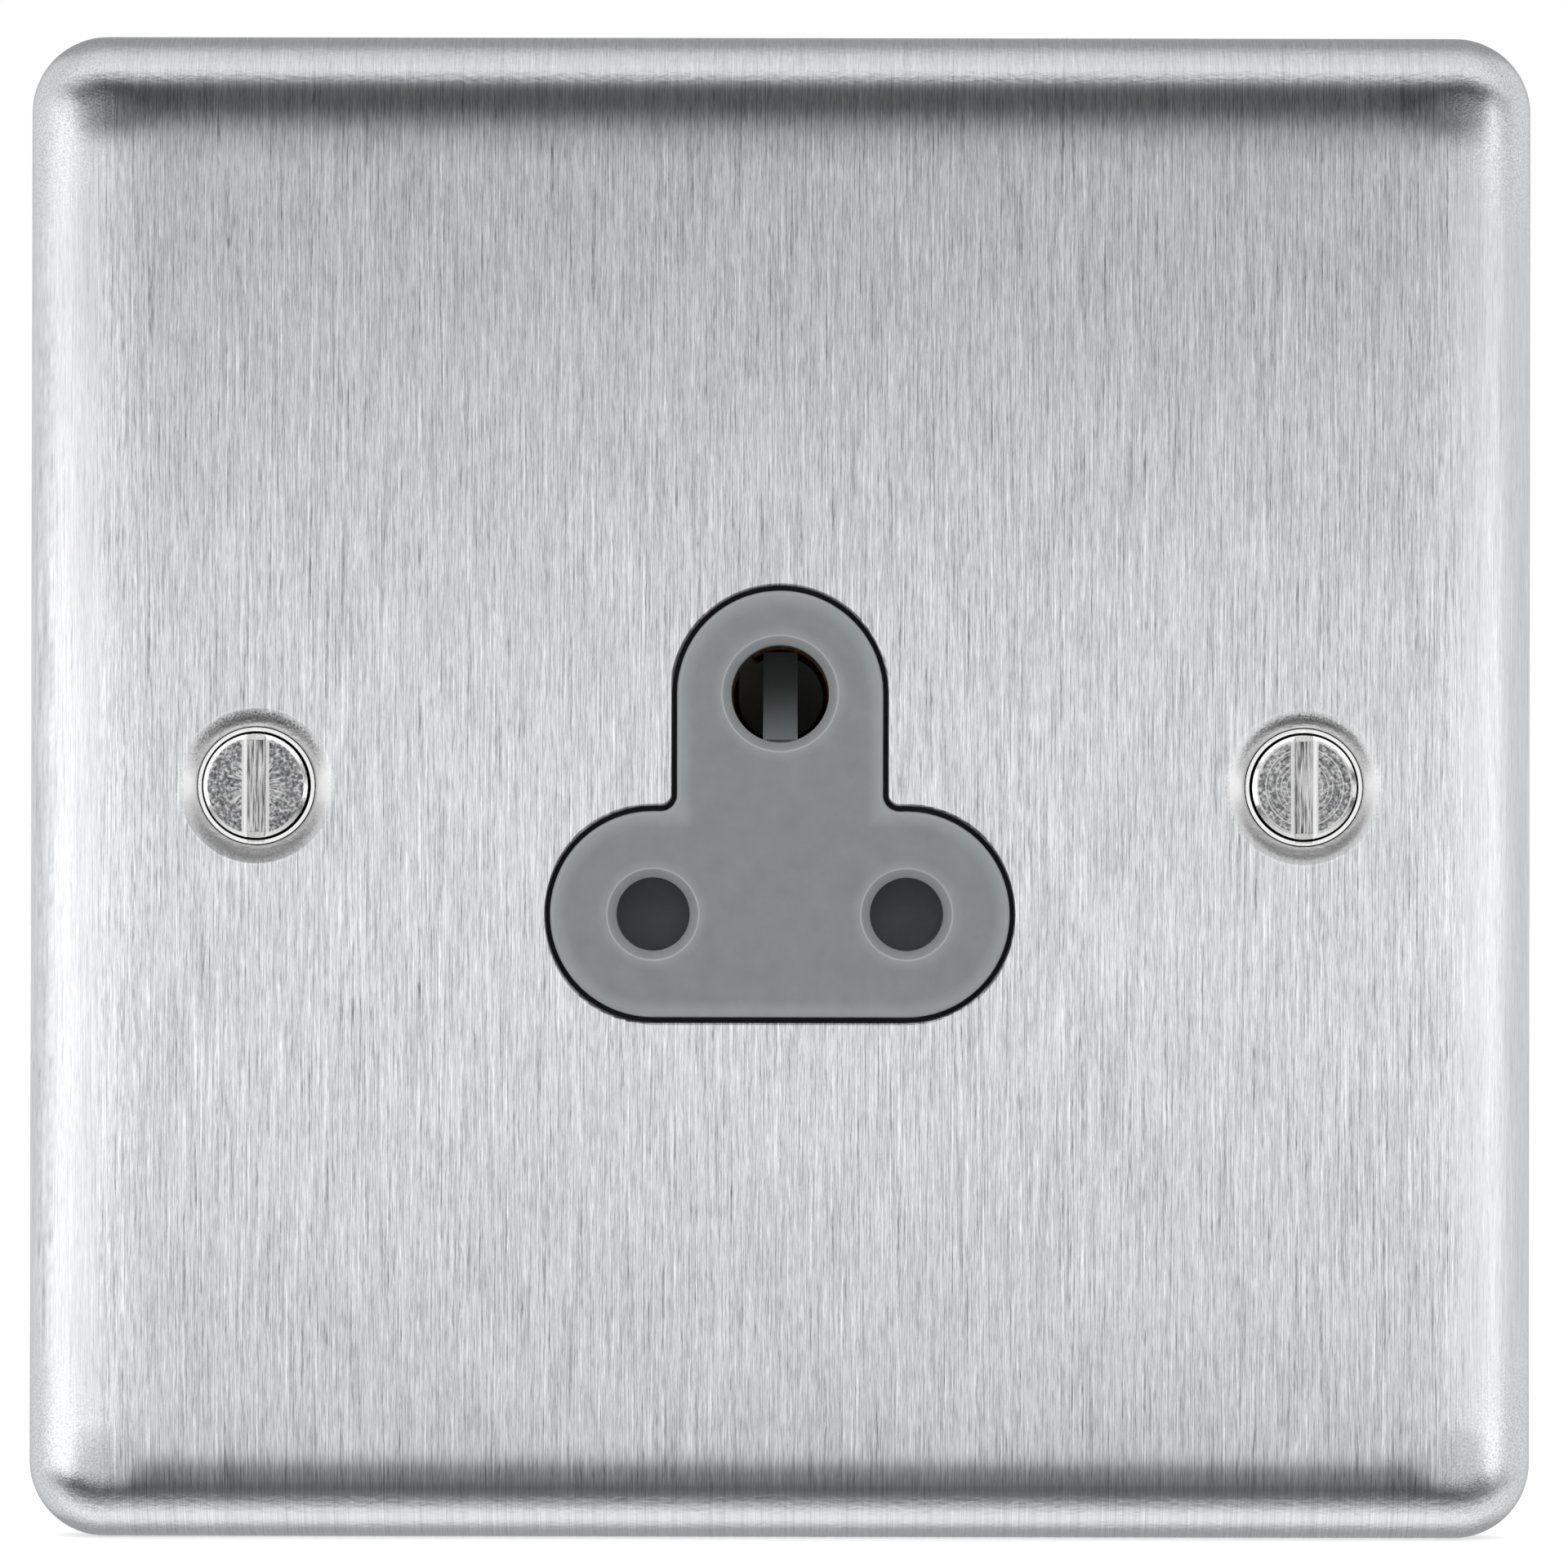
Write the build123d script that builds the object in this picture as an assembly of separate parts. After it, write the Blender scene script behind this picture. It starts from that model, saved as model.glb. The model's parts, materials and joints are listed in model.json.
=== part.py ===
from build123d import *
from math import cos, radians, sin, sqrt, tan
import os

# Round pin wall socket, unswitched: a pressed steel plate carries a shuttered moulded socket
# X runs to the right, Y back into the wall and Z up, from the plate's centre in the plane of the wall

# Front plate, pressed from one sheet
PLATE_SIDE = 87.0
PLATE_DEPTH = 6.0
SHEET = 1.0
CORNER_RADIUS = 4.4
EDGE_RADIUS = 3.6
KNEE_WIDTH = 5.8
KNEE_SLOPE = 10.0
KNEE_BLEND_RADIUS = 15.0
APERTURE_EDGE = 0.15

# Fixing screws and their dished seats
FIXING_PITCH = 60.3
FIXING_THREAD = 3.5
FIXING_NECK = 2.9
FIXING_LENGTH = 25.0
FIXING_HOLE = 4.1
HEAD_DIAMETER = 6.86
HEAD_CROWN_DIAMETER = 6.0
HEAD_TOP_DIAMETER = 5.46
HEAD_SINK = 0.1
HEAD_CROWN = 0.75
HEAD_BEVEL = 0.17
HEAD_GROOVE = 0.14
HEAD_SLOT_WIDTH = 1.0
HEAD_SLOT_LENGTH = 6.48
HEAD_SLOT_DEPTH = 1.37
HEAD_SLOT_CHAMFER = 0.18
NECK_REACH = 2.6
DISH_DIAMETER = 7.3
DISH_ROUNDING = 2.0

# Pin pattern
PIN_PITCH = 14.6
EARTH_RISE = 12.7
LIVE_DROP = 7.35
LIVE_PIN = 3.53
EARTH_PIN = 5.08
LIVE_HOLE = 4.24
EARTH_HOLE = 5.64
LEAD_IN = 0.52
LEAD_IN_ROUNDING = 0.12

# Socket front moulding
LOBE_RADIUS = 5.93
OUTLINE_FILLET = 0.95
APERTURE_GAP = 0.29
BOSS_PROUD = 0.3
BOSS_ROUNDING = 0.3
FLANGE_THICKNESS = 2.0
FLANGE_MARGIN = 0.6
FLANGE_CORNER = 3.0
PAD_SIDE = 4.0

# Insulating liner between plate and moulding
LINER_THICKNESS = 0.6
LINER_MARGIN = 2.0
LINER_CORNER = 4.0
LINER_FIT = 0.08

# Shutter and its return spring
SHUTTER_GAP = 0.25
BLADE_THICKNESS = 1.6
BLADE_LAP = 0.35
RAMP_WIDTH = 2.0
RAMP_DEPTH = 5.2
RAMP_SPARE = 0.06
SPRING_DIAMETER = 3.0
SPRING_WIRE = 0.36
SPRING_TURNS = 6
SPRING_PRESSED = 3.6
SPIGOT_DIAMETER = 1.7
SPIGOT_LENGTH = 1.5
HUB_HEIGHT = 1.6

# Contacts, wrapped from strip
STRIP = 0.6
GRIP_SQUEEZE = 0.03
GRIP_LEAD_IN = 0.25
GRIP_GAP_ANGLE = 55.0
LIVE_GRIP_LENGTH = 7.5
EARTH_GRIP_LENGTH = 6.5
LIVE_SETBACK = 0.9
EARTH_SETBACK = 0.5

# Terminal blocks, their screws and rivets
BLOCK_OFFSET = 5.3
BLOCK_WIDTH = 7.0
BLOCK_DEPTH = 8.0
BLOCK_LENGTH = 8.5
BLOCK_SETBACK = 3.9
BLOCK_CHAMFER = 0.4
WIRE_HOLE = 3.6
WIRE_HOLE_DEPTH = 6.0
WIRE_HOLE_SETBACK = 3.5
TERMINAL_THREAD = 3.5
TERMINAL_HEAD = 5.6
TERMINAL_HEAD_HEIGHT = 2.0
TERMINAL_HEAD_LIFT = 0.8
TERMINAL_SLOT = 0.9
TERMINAL_SCREW_INSET = 3.0
RIVET_SHANK = 2.0
RIVET_HEAD = 3.2
RIVET_HEAD_HEIGHT = 0.6
RIVET_GRIP = 2.0

# Rear housing and the screws that close it
HOUSING_WALL = 2.0
HOUSING_BACK_WALL = 4.0
HOUSING_DRAFT = 1.5
HOUSING_CORNER = 2.5
HOUSING_EDGE = 0.8
POCKET_GAP = 0.15
WIRE_ENTRY = 4.8
MOUTH_CHAMFER = 0.5
CLOSING_SHANK = 2.5
CLOSING_HEAD = 4.8
CLOSING_HEAD_HEIGHT = 1.6
CLOSING_SLOT = 0.8
CLOSING_SINK = 2.6
PILLAR_DIAMETER = 4.2
PILLAR_LENGTH = 5.0

# Plate studs, nuts and the earth strap
STUD_DIAMETER = 3.0
STUD_TAIL = 1.0
STUD_HOLE = 3.4
NUT_ACROSS_FLATS = 5.5
NUT_HEIGHT = 2.4
STRAP_THICKNESS = 0.5
STRAP_WIDTH = 6.0
STRAP_BEND = 0.5

# Clearance between pieces that are pressed, screwed or stacked together
FIT = 0.05

# Levels from front to back
PLATE_FACE = -PLATE_DEPTH
PLATE_INSIDE = PLATE_FACE + SHEET
BOSS_FACE = PLATE_FACE - BOSS_PROUD
FLANGE_FRONT = PLATE_INSIDE + LINER_THICKNESS
FLANGE_BACK = FLANGE_FRONT + FLANGE_THICKNESS
BLADE_FRONT = FLANGE_BACK + SHUTTER_GAP
BLADE_BACK = BLADE_FRONT + BLADE_THICKNESS
RAMP_BACK = BLADE_FRONT + RAMP_DEPTH
LIVE_GRIP_FRONT = BLADE_BACK + SHUTTER_GAP + LIVE_SETBACK
EARTH_GRIP_FRONT = RAMP_BACK + EARTH_SETBACK
BLOCK_FRONT = FLANGE_BACK + BLOCK_SETBACK
BLOCK_BACK = BLOCK_FRONT + BLOCK_DEPTH
WIRE_Y = BLOCK_FRONT + WIRE_HOLE_SETBACK
HOUSING_BACK = BLOCK_BACK + FIT + HOUSING_BACK_WALL
CLOSING_SEAT = HOUSING_BACK - CLOSING_SINK
PILLAR_BACK = FLANGE_BACK + PILLAR_LENGTH

# Places across the face
LIVE_X = PIN_PITCH / 2
LIVE_Z = -LIVE_DROP
EARTH_Z = LIVE_Z + EARTH_RISE
FIXING_X = FIXING_PITCH / 2
LIVE_GRIP = LIVE_PIN / 2 - GRIP_SQUEEZE
EARTH_GRIP = EARTH_PIN / 2 - GRIP_SQUEEZE
BLOCK_MIDDLE = BLOCK_OFFSET + BLOCK_WIDTH / 2
BLOCK_FAR = BLOCK_OFFSET + BLOCK_WIDTH

# Shutter heights and travel
RAMP_RISE = EARTH_PIN + 2 * RAMP_SPARE
RAMP_FOOT = EARTH_Z - RAMP_RISE / 2
RAMP_HEAD = EARTH_Z + RAMP_RISE / 2
SHUTTER_TRAVEL = RAMP_RISE
BLADE_HALF = LIVE_HOLE / 2 + BLADE_LAP
BLADE_REACH = LIVE_X + BLADE_HALF
BLADE_TOP = LIVE_Z + BLADE_HALF
BLADE_BOTTOM = LIVE_Z - BLADE_HALF
SLIDE_TOP = BLADE_TOP + SHUTTER_GAP
SLIDE_BOTTOM = BLADE_BOTTOM - SHUTTER_TRAVEL - SHUTTER_GAP
SPRING_SEAT = BLADE_BOTTOM - SHUTTER_TRAVEL - SPRING_PRESSED
SPRING_Y = BLADE_FRONT + SPRING_DIAMETER / 2 + SHUTTER_GAP
HUB_WIDTH = SPRING_DIAMETER + SHUTTER_GAP
HUB_BACK = SPRING_Y + HUB_WIDTH / 2

# Housing outline: a wide foot for the live terminals and a tower for the earth terminal
CLOSING_BORE = CLOSING_HEAD / 2 + 2 * POCKET_GAP
PILLAR_ROOM = PILLAR_DIAMETER / 2 + POCKET_GAP
FOOT_HALF = LIVE_X + BLOCK_FAR + POCKET_GAP + HOUSING_WALL
RIVET_ROOM = STRIP + RIVET_HEAD_HEIGHT + 2 * POCKET_GAP
FOOT_TOP = LIVE_Z + LIVE_GRIP + RIVET_ROOM + HOUSING_WALL
LOWER_SCREW_Z = SLIDE_BOTTOM - HOUSING_WALL / 2 - PILLAR_ROOM
LOWER_SCREW_X = (HUB_WIDTH / 2 + LIVE_X + BLOCK_MIDDLE - WIRE_ENTRY / 2) / 2
FOOT_BOTTOM = LOWER_SCREW_Z - CLOSING_BORE - HOUSING_WALL
UPPER_SCREW_Z = EARTH_Z + BLOCK_FAR + POCKET_GAP + HOUSING_WALL / 2 + PILLAR_ROOM
TOWER_HALF = BLOCK_LENGTH - EARTH_GRIP + POCKET_GAP + 2 * HOUSING_WALL
UPPER_SCREW_X = TOWER_HALF - HOUSING_WALL - CLOSING_BORE
TOWER_TOP = UPPER_SCREW_Z + CLOSING_BORE + HOUSING_WALL
CLOSING_PLACES = [
    (LOWER_SCREW_X, LOWER_SCREW_Z),
    (-LOWER_SCREW_X, LOWER_SCREW_Z),
    (UPPER_SCREW_X, UPPER_SCREW_Z),
    (-UPPER_SCREW_X, UPPER_SCREW_Z),
]
STUD_Z = EARTH_Z + BLOCK_MIDDLE
STUD_X = (TOWER_HALF + FOOT_HALF) / 2
FLANGE_WIDTH = 2 * (FOOT_HALF + FLANGE_MARGIN)
FLANGE_HEIGHT = TOWER_TOP - FOOT_BOTTOM + 2 * FLANGE_MARGIN
FLANGE_MIDDLE = (TOWER_TOP + FOOT_BOTTOM) / 2
PIN_PLACES = [
    (LIVE_X, LIVE_Z, LIVE_HOLE / 2),
    (-LIVE_X, LIVE_Z, LIVE_HOLE / 2),
    (0, EARTH_Z, EARTH_HOLE / 2),
]
ON_END = (Align.CENTER, Align.CENTER, Align.MIN)


def slab(sketch, front, back):
    """A sketch drawn in X and Z, given thickness from one Y level to another."""
    return extrude(Plane.XZ.offset(-back) * sketch, amount=back - front)


def rod(radius, front, back, x=0, z=0):
    """A round bar along Y."""
    return slab(Pos(x, z) * Circle(radius), front, back)


def turned(points):
    """A piece turned about the Y axis from points given as radius and Y."""
    return revolve(make_face(Polyline(*points, close=True)), Axis.Y)


def block_between(x_range, y_range, z_range):
    """A box between pairs of lowest and highest coordinates."""
    low = (x_range[0], y_range[0], z_range[0])
    size = [high - start for high, start in zip((x_range[1], y_range[1], z_range[1]), low)]
    return Pos(*low) * Box(*size, align=Align.MIN)


def at_line(piece):
    """Moves a contact's piece from its own axis to the line pin, on the right."""
    return Pos(LIVE_X, 0, LIVE_Z) * piece


def at_neutral(piece):
    """Mirrors the line pin's piece to the neutral pin, on the left."""
    return mirror(at_line(piece), Plane.YZ)


def at_earth(piece):
    """Turns a contact's piece so that its tail points up from the earth pin."""
    return Pos(0, 0, EARTH_Z) * Rot(0, -90, 0) * piece


def socket_outline(grow=0.0):
    """The three-lobed outline round the pin holes, grown outwards by an even gap."""
    radius = LOBE_RADIUS + grow
    bar = Pos(0, LIVE_Z) * SlotCenterToCenter(PIN_PITCH, 2 * radius)
    stem = Pos(0, (LIVE_Z + EARTH_Z) / 2) * SlotCenterToCenter(EARTH_RISE, 2 * radius, rotation=90)
    outline = bar + stem
    inner = [outline.vertices().sort_by_distance((side * radius, LIVE_Z + radius))[0] for side in (-1, 1)]
    return fillet(inner, OUTLINE_FILLET - grow)


def edges_at(piece, level):
    """The edges of a piece that lie in one plane across Y."""
    return piece.edges().filter_by_position(Axis.Y, level - FIT / 10, level + FIT / 10)


def plate_form(inset):
    """The plate's solid form: upright sides, a rounded edge and four soft knees that meet at the corners."""
    slope = radians(KNEE_SLOPE)
    half = PLATE_SIDE / 2 - inset
    flat = half - KNEE_WIDTH + inset * (1 - tan(slope / 2))
    face = PLATE_FACE + inset
    shoulder = face + (half - flat) * tan(slope)
    section = [(-half, 0), (-half, shoulder), (-flat, face), (flat, face), (half, shoulder), (half, 0)]
    bar = extrude(make_face(Polyline(*section, close=True)), amount=half, both=True)
    outline = RectangleRounded(2 * half, 2 * half, CORNER_RADIUS - inset)
    form = bar & Rot(0, 90, 0) * bar & slab(outline, face, 0)
    across = (half + flat) / 2
    level = (face + shoulder) / 2
    corners = [(x, level, z) for x in (-across, across) for z in (-across, across)]
    ridges = [form.edges().sort_by_distance(corner)[0] for corner in corners]
    form = fillet(ridges, KNEE_BLEND_RADIUS - inset)
    form = fillet(edges_at(form, face), KNEE_BLEND_RADIUS - inset)
    sides = form.faces().filter_by(lambda side: abs(side.normal_at().Y) < FIT)
    rim = sides.edges().filter_by_position(Axis.Y, face, shoulder + FIT)
    return fillet(rim, EDGE_RADIUS - inset)


def front_plate():
    """Pressed sheet with an even thickness, two dished screw seats and the aperture."""
    dish = DISH_DIAMETER / 2
    hole = FIXING_HOLE / 2
    throat = PLATE_FACE + dish - hole
    embed = PLATE_INSIDE - SHEET / 2
    wide = dish + SHEET * sqrt(2) - (embed - PLATE_FACE)
    narrow = hole + SHEET * sqrt(2) - SHEET
    swell = turned([(0, embed), (wide, embed), (narrow, throat + SHEET), (0, throat + SHEET)])
    above = PLATE_FACE - SHEET
    below = throat + 2 * SHEET
    seat = turned([(0, above), (dish + SHEET, above), (hole, throat), (hole, below), (0, below)])
    plate = plate_form(0) - plate_form(SHEET)
    for x in (-FIXING_X, FIXING_X):
        plate = plate + Pos(x, 0, 0) * swell - Pos(x, 0, 0) * seat
        rim = plate.edges().filter_by(GeomType.CIRCLE).sort_by_distance((x, PLATE_FACE, dish))[0]
        plate = fillet(rim, DISH_ROUNDING)
    plate -= slab(socket_outline(APERTURE_GAP), PLATE_FACE - SHEET, PLATE_INSIDE + SHEET)
    reach = LIVE_X + LOBE_RADIUS + 2 * APERTURE_GAP
    edge = edges_at(plate, PLATE_FACE).filter_by_position(Axis.X, -reach, reach)
    return fillet(edge.filter_by_position(Axis.Z, -2 * reach, 2 * reach), APERTURE_EDGE)


def fixing_screws():
    """Two slotted countersunk screws with a raised crown, relieved under the head to stay in the plate."""
    rim = HEAD_DIAMETER / 2
    seat_rim = PLATE_FACE + DISH_DIAMETER / 2 - rim
    ledge = PLATE_FACE + HEAD_SINK
    crown = ledge - HEAD_CROWN
    cone_foot = seat_rim - FIT + rim - FIXING_NECK / 2
    thread_start = cone_foot + NECK_REACH
    tip = ledge + FIXING_LENGTH
    thread = FIXING_THREAD / 2
    taper = thread - FIXING_NECK / 2
    wall = HEAD_CROWN_DIAMETER / 2
    head = [
        (0, crown),
        (HEAD_TOP_DIAMETER / 2, crown),
        (wall, crown + HEAD_BEVEL),
        (wall, ledge + HEAD_GROOVE),
        (wall + HEAD_GROOVE, ledge),
        (rim, ledge),
        (rim, seat_rim - FIT),
    ]
    shank = [
        (FIXING_NECK / 2, cone_foot),
        (FIXING_NECK / 2, thread_start - taper),
        (thread, thread_start),
        (thread, tip - 2 * taper),
        (thread - 2 * taper, tip),
        (0, tip),
    ]
    screw = turned(head + shank)
    slot = HEAD_SLOT_WIDTH / 2
    mouth = slot + HEAD_SLOT_CHAMFER
    open_end = HEAD_SLOT_LENGTH / 2
    floor = crown + HEAD_SLOT_DEPTH
    floor_end = open_end - (floor - ledge)
    above = crown - FIT
    cross_section = [(slot, floor), (slot, crown + HEAD_SLOT_CHAMFER), (mouth, crown), (mouth, above)]
    cross_section += [(-x, y) for x, y in reversed(cross_section)]
    side_view = [(floor, floor_end), (ledge, open_end), (above, open_end)]
    side_view += [(y, -z) for y, z in reversed(side_view)]
    channel = extrude(make_face(Polyline(*cross_section, close=True)), amount=HEAD_DIAMETER, both=True)
    reach = make_face(Plane.YZ * Polyline(*side_view, close=True))
    screw -= channel & extrude(reach, amount=HEAD_DIAMETER, both=True)
    return Pos(-FIXING_X, 0, 0) * screw + Pos(FIXING_X, 0, 0) * screw


def insulating_liner():
    """Thin sheet that keeps the moulding off the metal plate."""
    outline = Pos(0, FLANGE_MIDDLE) * RectangleRounded(
        FLANGE_WIDTH + 2 * LINER_MARGIN, FLANGE_HEIGHT + 2 * LINER_MARGIN, LINER_CORNER
    )
    sheet = slab(outline - socket_outline(LINER_FIT), PLATE_INSIDE, FLANGE_FRONT)
    for x in (-STUD_X, STUD_X):
        sheet -= rod(STUD_HOLE / 2, PLATE_INSIDE, FLANGE_FRONT, x, STUD_Z)
    return sheet


def terminal_pad(grip):
    """Post on the front moulding that keeps a terminal block on its seat."""
    half = PAD_SIDE / 2
    middle = grip - BLOCK_LENGTH / 2
    across = (BLOCK_MIDDLE - half, BLOCK_MIDDLE + half)
    return block_between(across, (FLANGE_BACK, BLOCK_FRONT - FIT), (middle - half, middle + half))


def socket_front():
    """Front moulding: the boss with the pin holes, its flange, terminal pads and screw pillars."""
    boss = slab(socket_outline(), BOSS_FACE, FLANGE_BACK)
    boss = fillet(edges_at(boss, BOSS_FACE), BOSS_ROUNDING)
    flange = Pos(0, FLANGE_MIDDLE) * RectangleRounded(FLANGE_WIDTH, FLANGE_HEIGHT, FLANGE_CORNER)
    moulding = boss + slab(flange, FLANGE_FRONT, FLANGE_BACK)
    for x, z, radius in PIN_PLACES:
        hole = [
            (0, BOSS_FACE - LEAD_IN),
            (radius + 2 * LEAD_IN, BOSS_FACE - LEAD_IN),
            (radius, BOSS_FACE + LEAD_IN),
            (radius, FLANGE_BACK + LEAD_IN),
            (0, FLANGE_BACK + LEAD_IN),
        ]
        moulding -= Pos(x, 0, z) * turned(hole)
        rims = moulding.edges().filter_by(GeomType.CIRCLE)
        mouth = rims.sort_by_distance((x, BOSS_FACE, z + radius + LEAD_IN))[0]
        moulding = fillet(mouth, LEAD_IN_ROUNDING)
    for x in (-STUD_X, STUD_X):
        moulding -= rod(STUD_HOLE / 2, FLANGE_FRONT, FLANGE_BACK, x, STUD_Z)
    moulding += at_line(terminal_pad(LIVE_GRIP))
    moulding += at_neutral(terminal_pad(LIVE_GRIP))
    moulding += at_earth(terminal_pad(EARTH_GRIP))
    for x, z in CLOSING_PLACES:
        moulding += rod(PILLAR_DIAMETER / 2, FLANGE_BACK, PILLAR_BACK, x, z)
        moulding -= rod(CLOSING_SHANK / 2 + FIT, FLANGE_FRONT + SHEET, PILLAR_BACK, x, z)
    return moulding


def shutter():
    """Slider with two blades behind the live holes and a ramp bar that the earth pin pushes down."""
    blade = Pos(0, LIVE_Z) * RectangleRounded(2 * BLADE_REACH, 2 * BLADE_HALF, BLADE_LAP)
    blades = slab(blade, BLADE_FRONT, BLADE_BACK)
    side_view = Polyline(
        (BLADE_FRONT, BLADE_BOTTOM),
        (BLADE_FRONT, RAMP_FOOT),
        (RAMP_BACK, RAMP_HEAD),
        (RAMP_BACK, RAMP_FOOT),
        (HUB_BACK, BLADE_TOP),
        (HUB_BACK, BLADE_BOTTOM),
        close=True,
    )
    bar = extrude(Plane.YZ * make_face(side_view), amount=RAMP_WIDTH / 2, both=True)
    hub_sides = (-HUB_WIDTH / 2, HUB_WIDTH / 2)
    hub = block_between(hub_sides, (BLADE_FRONT, HUB_BACK), (BLADE_BOTTOM, BLADE_BOTTOM + HUB_HEIGHT))
    spigot_foot = BLADE_BOTTOM - SPIGOT_LENGTH
    spigot = Pos(0, SPRING_Y, spigot_foot) * Cylinder(SPIGOT_DIAMETER / 2, SPIGOT_LENGTH, align=ON_END)
    return blades + bar + hub + spigot


def shutter_spring():
    """Coil spring between the housing's seat and the shutter's hub."""
    radius = (SPRING_DIAMETER - SPRING_WIRE) / 2
    height = BLADE_BOTTOM - SPRING_SEAT - SPRING_WIRE - 2 * FIT
    coil = Helix(height / SPRING_TURNS, height, radius)
    section = Plane(coil @ 0, z_dir=coil % 0) * Circle(SPRING_WIRE / 2)
    return Pos(0, SPRING_Y, SPRING_SEAT + FIT + SPRING_WIRE / 2) * sweep(section, coil, is_frenet=True)


def contact(grip, front, length):
    """Strip wrapped round a pin about the Y axis, with its tail leaving along the top."""
    outer = grip + STRIP
    reach = 2 * outer
    start = radians(90 - GRIP_GAP_ANGLE)
    gap = Polyline((0, 0), (reach * cos(start), reach * sin(start)), (reach, reach), (0, reach), close=True)
    wrap = Circle(outer) - Circle(grip) - make_face(gap)
    tail = Pos(0, grip) * Rectangle(BLOCK_FAR, STRIP, align=Align.MIN)
    strip = slab(wrap + tail, front, front + length)
    throat = front + GRIP_LEAD_IN
    strip -= turned([(0, front), (grip + GRIP_LEAD_IN, front), (grip, throat), (0, throat)])
    rivet_hole = Pos(BLOCK_MIDDLE, WIRE_Y, grip) * Cylinder(RIVET_SHANK / 2 + FIT, STRIP, align=ON_END)
    return strip - rivet_hole


def live_contact():
    """Contact for one of the two smaller pins."""
    return contact(LIVE_GRIP, LIVE_GRIP_FRONT, LIVE_GRIP_LENGTH)


def earth_grip():
    """Contact for the larger earth pin, set behind the shutter's ramp."""
    return contact(EARTH_GRIP, EARTH_GRIP_FRONT, EARTH_GRIP_LENGTH)


def terminal(grip):
    """Block with a wire hole, a clamping screw's hole and a rivet hole under the contact's tail."""
    across = (BLOCK_OFFSET, BLOCK_FAR)
    block = block_between(across, (BLOCK_FRONT, BLOCK_BACK), (grip - BLOCK_LENGTH, grip))
    block = chamfer(block.edges().filter_by(Axis.Z), BLOCK_CHAMFER)
    foot = Pos(BLOCK_MIDDLE, WIRE_Y, grip - BLOCK_LENGTH)
    block -= foot * Cylinder(WIRE_HOLE / 2, WIRE_HOLE_DEPTH, align=ON_END)
    screw_z = grip - BLOCK_LENGTH + TERMINAL_SCREW_INSET
    block -= rod(TERMINAL_THREAD / 2 + FIT, WIRE_Y, BLOCK_BACK, BLOCK_MIDDLE, screw_z)
    rivet_foot = grip - RIVET_GRIP - FIT
    seat = Pos(BLOCK_MIDDLE, WIRE_Y, rivet_foot)
    return block - seat * Cylinder(RIVET_SHANK / 2 + FIT, RIVET_GRIP + FIT, align=ON_END)


def terminal_screw(grip):
    """Slotted clamping screw, backed out to the edge of the wire hole."""
    tip = WIRE_Y + WIRE_HOLE / 2 + 2 * FIT
    under = BLOCK_BACK + TERMINAL_HEAD_LIFT
    top = under + TERMINAL_HEAD_HEIGHT
    thread = TERMINAL_THREAD / 2
    head = TERMINAL_HEAD / 2
    screw = turned([(0, tip), (thread, tip), (thread, under), (head, under), (head, top), (0, top)])
    slot = (-TERMINAL_SLOT / 2, TERMINAL_SLOT / 2)
    slot_depth = (top - TERMINAL_HEAD_HEIGHT / 2, top + FIT)
    screw -= block_between((-TERMINAL_HEAD, TERMINAL_HEAD), slot_depth, slot)
    return Pos(BLOCK_MIDDLE, 0, grip - BLOCK_LENGTH + TERMINAL_SCREW_INSET) * screw


def terminal_screws():
    """The three clamping screws."""
    live = terminal_screw(LIVE_GRIP)
    return at_line(live) + at_neutral(live) + at_earth(terminal_screw(EARTH_GRIP))


def rivet(grip, stack):
    """Rivet through the strips stacked on a block."""
    foot = Pos(BLOCK_MIDDLE, WIRE_Y, grip - RIVET_GRIP)
    shank = foot * Cylinder(RIVET_SHANK / 2, RIVET_GRIP + stack, align=ON_END)
    top = Pos(BLOCK_MIDDLE, WIRE_Y, grip + stack)
    head = top * Cylinder(RIVET_HEAD / 2, RIVET_HEAD_HEIGHT, align=ON_END)
    head = chamfer(head.edges().sort_by(Axis.Z)[-1], RIVET_HEAD_HEIGHT / 2)
    return shank + head


def contact_rivets():
    """The three rivets; the earth one also holds the strap."""
    live = rivet(LIVE_GRIP, STRIP)
    return at_line(live) + at_neutral(live) + at_earth(rivet(EARTH_GRIP, STRIP + STRAP_THICKNESS))


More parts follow.
